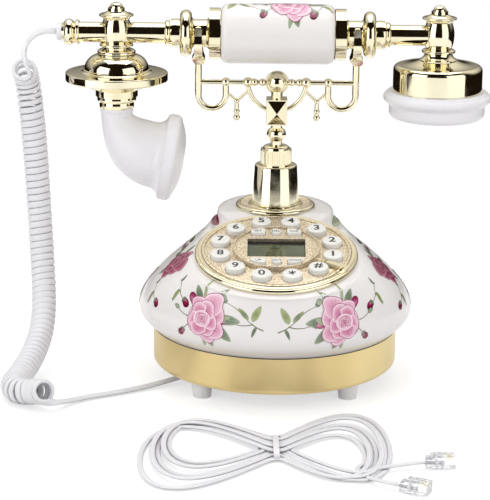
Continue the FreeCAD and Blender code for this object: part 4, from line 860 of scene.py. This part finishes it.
# Sprays on the body, much alike on its two sides: name, drawing, place, normal, turn in degrees, mirrored
BODY_SPRAYS = (
    ("rose_front_left", bouquet, (-42.1, -72.2, 57.5), (-0.52, -0.84, 0.14), 0, False),
    ("rose_front_right", bouquet, (37.9, -74.5, 57), (0.45, -0.88, 0.13), 0, True),
    ("twig_front_left", twig, (-20.4, -80.6, 60), (-0.25, -0.96, 0.1), 0, False),
    ("twig_front_right", twig, (13.6, -82.3, 59), (0.16, -0.98, 0.1), 0, True),
    ("wine_left", deep_rose, (-60.8, -25, 78.2), (-0.65, -0.2, 0.75), -24, False),
    ("wine_right", deep_rose, (65.3, -19.4, 74.9), (0.65, -0.18, 0.75), 24, True),
    ("buds_left", small_buds, (-57.6, -53, 69), (-0.6, -0.6, 0.5), 0, False),
    ("buds_right", small_buds, (59.4, -51.6, 68), (0.6, -0.58, 0.5), 0, True),
    ("shoot_left", small_buds, (-74, -30, 61), (-0.86, -0.36, 0.34), 10, False),
    ("shoot_right", small_buds, (77, -25, 59.5), (0.88, -0.3, 0.32), -10, True),
    ("shoulder_left", partial(shoulder_leaves, top=WINES[:3]), (-42, 30, 91), (-0.75, 0.1, 0.65), 0, False),
    ("shoulder_right", partial(shoulder_leaves, top=PALE_LEAF), (42, 30, 91), (0.75, 0.1, 0.65), 0, True),
    ("flank_left", flank_leaves, (-52, 4, 85.5), (-0.66, -0.05, 0.75), 0, False),
    ("flank_right", flank_leaves, (52, 4, 85.5), (0.66, -0.05, 0.75), 0, True),
    ("rose_side_left", bouquet, (-82, 12, 52), (-0.99, 0.12, 0.12), 0, False),
    ("rose_side_right", bouquet, (82, 12, 52), (0.99, 0.12, 0.12), 0, True),
    ("twig_back_left", twig, (-72, 46, 58), (-0.82, 0.54, 0.16), 8, True),
    ("twig_back_right", twig, (72, 46, 58), (0.82, 0.54, 0.16), -8, False),
    ("rose_back_left", bouquet, (-34, 78, 60), (-0.4, 0.9, 0.1), 0, True),
    ("rose_back_right", bouquet, (34, 78, 60), (0.4, 0.9, 0.1), 0, False),
    ("buds_back", small_buds, (0, 84, 66), (0, 0.99, 0.1), 0, False),
)
# Sprays on the grip: name, drawing, x, angle round the grip's axis, turn in degrees, mirrored
GRIP_SPRAYS = (
    ("grip_rose", bouquet, 8, 97, 0, False), ("grip_twig_left", twig, -20, 88, 0, False),
    ("grip_buds_right", small_buds, 28, 104, 20, True), ("grip_rose_back", bouquet, -6, 20, 0, True),
    ("grip_twig_back", twig, 22, 30, 0, True))
# y and z of the grip's axis, and how far from it the sprays are placed
GRIP_AXIS = (45, 207.4)
GRIP_RADIUS = 18.5


def sprayed(draw):
    """A new spray with a drawing in it."""
    spray = Spray()
    draw(spray)
    return spray


def paint_ceramic():
    """Sprays round the body and along the grip."""
    for name, draw, place, normal, turn, mirror in BODY_SPRAYS:
        sprayed(draw).lay(name, "ceramic_body", "base", place, normal, turn, mirror)
    for name, draw, x, angle, turn, mirror in GRIP_SPRAYS:
        out = Vector((0, *cos_sin(angle)))
        place = Vector((x, *GRIP_AXIS)) + out * GRIP_RADIUS
        sprayed(draw).lay(name, "grip", "handset", place, out, turn, mirror)


paint_ceramic()


# Numbers on the keys and words on the function keys.
DIAL_CENTRE = Vector((0, -29, 84.5))
DIAL_UP = Vector((0, 0.9763, 0.2164))
DIAL_OUT = Vector((0, -0.2164, 0.9763))
KEY_CIRCLE = 35.0
FIRST_KEY = -15
KEY_TURN = 30
NUMBERS = "1234567890*#"
NAMES = {"*": "star", "#": "hash"}
NUMBER_HEIGHT = 6.2
STAR_HEIGHT = 5.0
BOLD = {"1": 0.32, "2": 0.28, "3": 0.28, "4": 0.26, "5": 0.28, "7": 0.32}
OTHER_BOLD = 0.2
# Words: function key, word, place across the dial and up it
WORDS = (
    ("upper_left", "SET", -11, 18.9), ("upper_middle", "DEL", 0, 18.9), ("upper_right", "CLR", 11, 18.9),
    ("lower_left", "UP", -11, -18.9), ("lower_middle", "OUT", 0, -18.9), ("lower_right", "DOWN", 11, -18.9))
WORD_HEIGHT = 2.1
WORD_BOLD = 0.12
FONT_SIZE = 10
# The print is cut into squares, so that it follows a domed key
CUT_STEP = 0.8
CUTS = 8
PRINT_SEARCH = 20 * MM
PRINT_LIFT = 0.035 * MM


def dial_place(x, y, rise=0.0):
    """A place on the dial: across, up its slope and out from its seat, in millimetres."""
    return DIAL_CENTRE + ACROSS * x + DIAL_UP * y + DIAL_OUT * rise


def lettering(name, words, body, centre, height, bold):
    """Printed characters laid on a key's top."""
    data = bpy.data.curves.new(name, "FONT")
    data.body = words
    data.size = FONT_SIZE
    data.align_x, data.align_y = "CENTER", "CENTER"
    data.offset = bold
    flat = mesh_of(data)
    form = bmesh.new()
    form.from_mesh(flat)
    bpy.data.meshes.remove(flat)
    low = np.min([v.co[:2] for v in form.verts], axis=0)
    high = np.max([v.co[:2] for v in form.verts], axis=0)
    scale = height / (high[1] - low[1])
    for vertex in form.verts:
        vertex.co = (*((np.array(vertex.co[:2]) - (low + high) / 2) * scale), 0)
    for axis in (ACROSS, Vector((0, 1, 0))):
        for step in range(-CUTS, CUTS + 1):
            bmesh.ops.bisect_plane(form, geom=form.verts[:] + form.edges[:] + form.faces[:],
                                   plane_co=axis * step * CUT_STEP, plane_no=axis)
    tree = tree_of(body)
    for vertex in form.verts:
        place = centre + ACROSS * vertex.co.x + DIAL_UP * vertex.co.y
        hit, facing = drop(tree, mm(place), DIAL_OUT, PRINT_SEARCH)
        vertex.co = hit + facing * PRINT_LIFT
    mesh = bpy.data.meshes.new(name)
    form.to_mesh(mesh)
    form.free()
    mesh.materials.append(INK)
    piece = put(name, mesh)
    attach(piece, body)


def print_keys():
    """A number on every dial key and a word on every function key."""
    for index, number in enumerate(NUMBERS):
        centre = dial_place(*(KEY_CIRCLE * part for part in cos_sin(FIRST_KEY + KEY_TURN * index)))
        name = NAMES.get(number, number)
        height = STAR_HEIGHT if number == "*" else NUMBER_HEIGHT
        lettering("number_" + name, number, "key_" + name, centre, height, BOLD.get(number, OTHER_BOLD))
    for key, word, x, y in WORDS:
        lettering("word_" + key, word, "function_" + key, dial_place(x, y), WORD_HEIGHT, WORD_BOLD)


print_keys()


# Raised lines and scrolls on the dial, the display's dark frame with painted shadow along its top, the
# painted shade in the band's seam, and the escutcheon's lace.

# Ring lines: name, radius, CAD node below, width
DIAL_LINES = (
    ("outer", 43.1, "dial_plate", 0.7), ("second", 41.9, "dial_plate", 0.45),
    ("third", 28.4, "dial_plate", 0.6), ("inner", 24.2, "dial_centre_plate", 0.55))
# Scrolls beside the display: across, up, size, start and span in degrees
SCROLLS = ((19.6, 5.2, 3.4, -100, 420), (19.6, -5.2, 3.4, 100, -420), (21.4, 0, 1.9, 180, 400))
SCROLL_WIDTH = 0.6
LINE_HEIGHT = 0.5 * MM
RING_POINTS = 121
DIAL_SEARCH = 30
DISPLAY_HALF = (17.45, 11.45)
# The display's strips: the top one is painted shadow of the window's recess, the bottom and side ones a thin
# dark frame.
PAINTED_SHADOW_TOP, SURROUND_BOTTOM, SURROUND_SIDE = 2.6, 0.3, 0.4
SURROUND_LIFT = 0.04
# The painted shade in the gap under the ceramic: its radius and height, width and thickness, and points round
# it.
SEAM_RADIUS, SEAM_HEIGHT = 75.45, 34.0
SEAM_WIDTH, SEAM_THICK = 0.7 * MM, 0.5 * MM
SEAM_POINTS = 181
LACE_CENTRE = Vector((0, 45, 97))
LACE_RADII = np.linspace(17.5, 22.2, 7)
LACE_POINTS = 96
LACE_SEARCH = 20 * MM
LACE_LIFT = 0.05 * MM


def dial_height(tree, x, y):
    """How far the dial's face stands out from its seat at a place."""
    hit, _, _, _ = tree.ray_cast(mm(dial_place(x, y, DIAL_SEARCH)), -DIAL_OUT)
    return (hit / MM - DIAL_CENTRE).dot(DIAL_OUT) if hit else 0.0


def raised_line(name, places, tree, wide):
    """A thin raised gold line drawn on the dial's face."""
    line = np.array([mm(dial_place(x, y, dial_height(tree, x, y))) for x, y in places])
    side = np.cross(DIAL_OUT, tangents(line))
    piece = mesh_object(name, *ribbon_mesh(line, side, wide * MM, LINE_HEIGHT, 8, 2.0), GOLD, "base")


def scroll_places(x, y, size, start, span, wind):
    """A spiral scroll: it winds in from its start angle, in degrees, over a span."""
    share = np.linspace(0, 1, 40)
    reach = size * (1 - 0.78 * share ** 0.8)
    return (x, y) + round_points(np.radians(start + span * share)) * (wind, 1) * reach[:, None]


def dress_dial():
    """Ring lines round the dial, and scrolls on each side of its display."""
    for name, radius, node, wide in DIAL_LINES:
        raised_line("dial_line_" + name, circle(radius, RING_POINTS, True), tree_of(node), wide)
    for side, wind in (("left", -1), ("right", 1)):
        for index, (x, y, size, start, span) in enumerate(SCROLLS):
            places = scroll_places(x * wind, y, size, start, span, wind)
            raised_line(f"dial_scroll_{side}_{index}", places, tree_of("dial_centre_plate"), SCROLL_WIDTH)


def display_frame_and_shadow():
    """Dark strips along the four edges of the display's window: the wide top one is painted shadow of the
    window's recess, the thin others a dark frame.
    """
    glass = np.array([v.co for v in NODES["lcd_window"].data.vertices]) / MM - np.array(DIAL_CENTRE)
    top = (glass @ np.array(DIAL_OUT)).max() + SURROUND_LIFT
    wide, high = DISPLAY_HALF
    # The top strip is painted shadow where the window lies in its recess; the others are a thin dark frame.
    strips = (
        (-wide, wide, high - PAINTED_SHADOW_TOP, high), (-wide, wide, -high, SURROUND_BOTTOM - high),
        (-wide, SURROUND_SIDE - wide, -high, high), (wide - SURROUND_SIDE, wide, -high, high))
    points, faces = [], []
    for a, b, c, d in strips:
        start = len(points)
        points += [mm(dial_place(u, v, top)) for u, v in ((a, c), (b, c), (b, d), (a, d))]
        faces.append((start, start + 1, start + 2, start + 3))
    surround = mesh_object("display_frame_and_shadow", points, faces, DARK, "base", False)


def band_gap_shade():
    """A thin dark ring in the gap between the ceramic and the band: painted shade."""
    line = np.array([(x, y, SEAM_HEIGHT) for x, y in circle(SEAM_RADIUS, SEAM_POINTS, True)]) * MM
    ribbon = ribbon_mesh(line, UP, SEAM_WIDTH, SEAM_THICK, 8, 2.0)
    piece = mesh_object("band_gap_shade", *ribbon, DARK, "base")


def escutcheon_lace():
    """An embossed ring laid on the top of the escutcheon."""
    tree = tree_of("escutcheon")
    points = []
    for radius in LACE_RADII:
        for x, y in circle(radius, LACE_POINTS):
            hit, facing = drop(tree, mm(LACE_CENTRE + Vector((x, y, 0))), UP, LACE_SEARCH)
            points.append(hit + facing * LACE_LIFT)
    faces = ring_faces(len(LACE_RADII), LACE_POINTS)
    piece = mesh_object("escutcheon_lace", points, faces, EMBOSSED, "base")


dress_dial()
display_frame_and_shadow()
band_gap_shade()
escutcheon_lace()


# Camera, floor and light

CAMERA_PLACE = (-0.019, -1.3, 0.437)
CAMERA_AIM = (-0.019, 0, 0.08)
CAMERA_ROLL = math.radians(0.6)
CAMERA_LENS = 156.96
CAMERA_SENSOR = 36
# Softboxes: name, place, aim, size, power
SOFTBOXES = (
    ("left_softbox", (-0.95, -0.74, 0.22), (0, 0, 0.15), (0.95, 1.7), 9),
    ("right_softbox", (0.9, -0.8, 0.22), (0, 0, 0.15), (1.1, 1.7), 7.2),
    ("top_softbox", (0, 0.25, 1.25), (0, 0, 0.1), (1.1, 1.0), 6.6))
FLOOR_RADIUS = 0.86
FLOOR_MIDDLE = -0.3
FLOOR_HEIGHT = -0.0003
FLOOR_POINTS = 96
# The floor's own tone, and its glow as it is seen and as it is mirrored
FLOOR_TONE = 0.65
FLOOR_SEEN = 0.55
FLOOR_MIRRORED = 0.4
BACKGROUND = (1, 1, 1, 1)
SOFT_LIGHT = 0.57
# The room in reflections: its two tones, and where it turns from dark to pale towards the back and upwards
ROOM_DARK = (0.01, 0.006, 0.003)
ROOM_PALE = (0.85, 0.81, 0.72)
ROOM_DEPTH = (-0.1, 0.35)
ROOM_HEIGHT = (0.0, 0.55)


def look_from(place, aim, roll):
    """A camera matrix at a place, aimed at a point and rolled about its own axis."""
    ahead = (Vector(aim) - Vector(place)).normalized()
    right = ahead.cross(UP).normalized()
    up = right.cross(ahead)
    cos, sin = math.cos(roll), math.sin(roll)
    across, upward = right * cos + up * sin, up * cos - right * sin
    matrix = Matrix((across, upward, -ahead)).transposed().to_4x4()
    matrix.translation = place
    return matrix


def make_camera():
    """The camera of the photo."""
    data = bpy.data.cameras.new("camera")
    data.lens = CAMERA_LENS
    data.sensor_width = CAMERA_SENSOR
    SCENE.camera = put("camera", data)
    SCENE.camera.matrix_world = look_from(CAMERA_PLACE, CAMERA_AIM, CAMERA_ROLL)


def softbox(name, place, aim, size, power):
    """A rectangular lamp that the camera doesn't see."""
    data = bpy.data.lights.new(name, "AREA")
    data.shape = "RECTANGLE"
    data.size, data.size_y = size
    data.energy = power
    lamp = put(name, data)
    lamp.matrix_world = look_from(place, aim, 0)
    lamp.visible_camera = False


def seen_straight(tree, path):
    """One for a ray from the camera or through clear plastic, nought for any other."""
    sources = {0: path.outputs["Is Camera Ray"], 1: path.outputs["Is Transmission Ray"]}
    return wired(tree, "ShaderNodeMath", sources, operation="MAXIMUM")


def make_floor():
    """A round white floor that keeps the object's shadow."""
    made = bpy.data.materials.new("floor_white")
    made.use_nodes = True
    tree = made.node_tree
    tree.nodes.clear()
    path = tree.nodes.new("ShaderNodeLightPath")
    mirrored = wired(tree, "ShaderNodeMath", {0: path.outputs["Is Glossy Ray"], 1: FLOOR_MIRRORED},
                     operation="MULTIPLY")
    share = wired(tree, "ShaderNodeMath", {0: seen_straight(tree, path), 1: FLOOR_SEEN, 2: mirrored},
                  operation="MULTIPLY_ADD")
    matt = wired(tree, "ShaderNodeBsdfDiffuse", {"Color": (*grey(FLOOR_TONE), 1)})
    glow = wired(tree, "ShaderNodeEmission", {"Strength": share})
    both = wired(tree, "ShaderNodeAddShader", {0: matt, 1: glow})
    wired(tree, "ShaderNodeOutputMaterial", {"Surface": both})
    rim = [(x, y + FLOOR_MIDDLE, FLOOR_HEIGHT) for x, y in circle(FLOOR_RADIUS, FLOOR_POINTS)]
    mesh = bpy.data.meshes.new("floor")
    mesh.from_pydata(rim, [], [tuple(range(FLOOR_POINTS))])
    mesh.materials.append(made)
    floor = put("floor", mesh)


def make_world():
    """Plain white to the camera and through clear plastic, and an even soft light on the object. Reflections
    see a room that is pale high up at the back and nearly black elsewhere, as the photo's gold does."""
    world = bpy.data.worlds.new("studio")
    SCENE.world = world
    world.use_nodes = True
    tree = world.node_tree
    tree.nodes.clear()
    path = tree.nodes.new("ShaderNodeLightPath")
    place = tree.nodes.new("ShaderNodeTexCoord")
    split = tree.nodes.new("ShaderNodeSeparateXYZ")
    tree.links.new(place.outputs["Generated"], split.inputs[0])
    depth, height = (
        wired(tree, "ShaderNodeMapRange", {"Value": split.outputs[axis], "From Min": low, "From Max": high})
        for axis, (low, high) in (("Y", ROOM_DEPTH), ("Z", ROOM_HEIGHT)))
    high_behind = wired(tree, "ShaderNodeMath", {0: depth, 1: height}, operation="MULTIPLY")
    room = stepped(tree, high_behind, ((0, ROOM_DARK), (1, ROOM_PALE)))
    mirrored = wired(tree, "ShaderNodeBackground", {"Color": room})
    soft = wired(tree, "ShaderNodeBackground", {"Color": BACKGROUND, "Strength": SOFT_LIGHT})
    white = wired(tree, "ShaderNodeBackground", {"Color": BACKGROUND})
    lit = wired(tree, "ShaderNodeMixShader", {"Fac": path.outputs["Is Glossy Ray"], 1: soft, 2: mirrored})
    final = wired(tree, "ShaderNodeMixShader", {"Fac": seen_straight(tree, path), 1: lit, 2: white})
    wired(tree, "ShaderNodeOutputWorld", {"Surface": final})


SCENE.view_settings.view_transform = "Standard"
make_camera()
make_floor()
make_world()
for values in SOFTBOXES:
    softbox(*values)
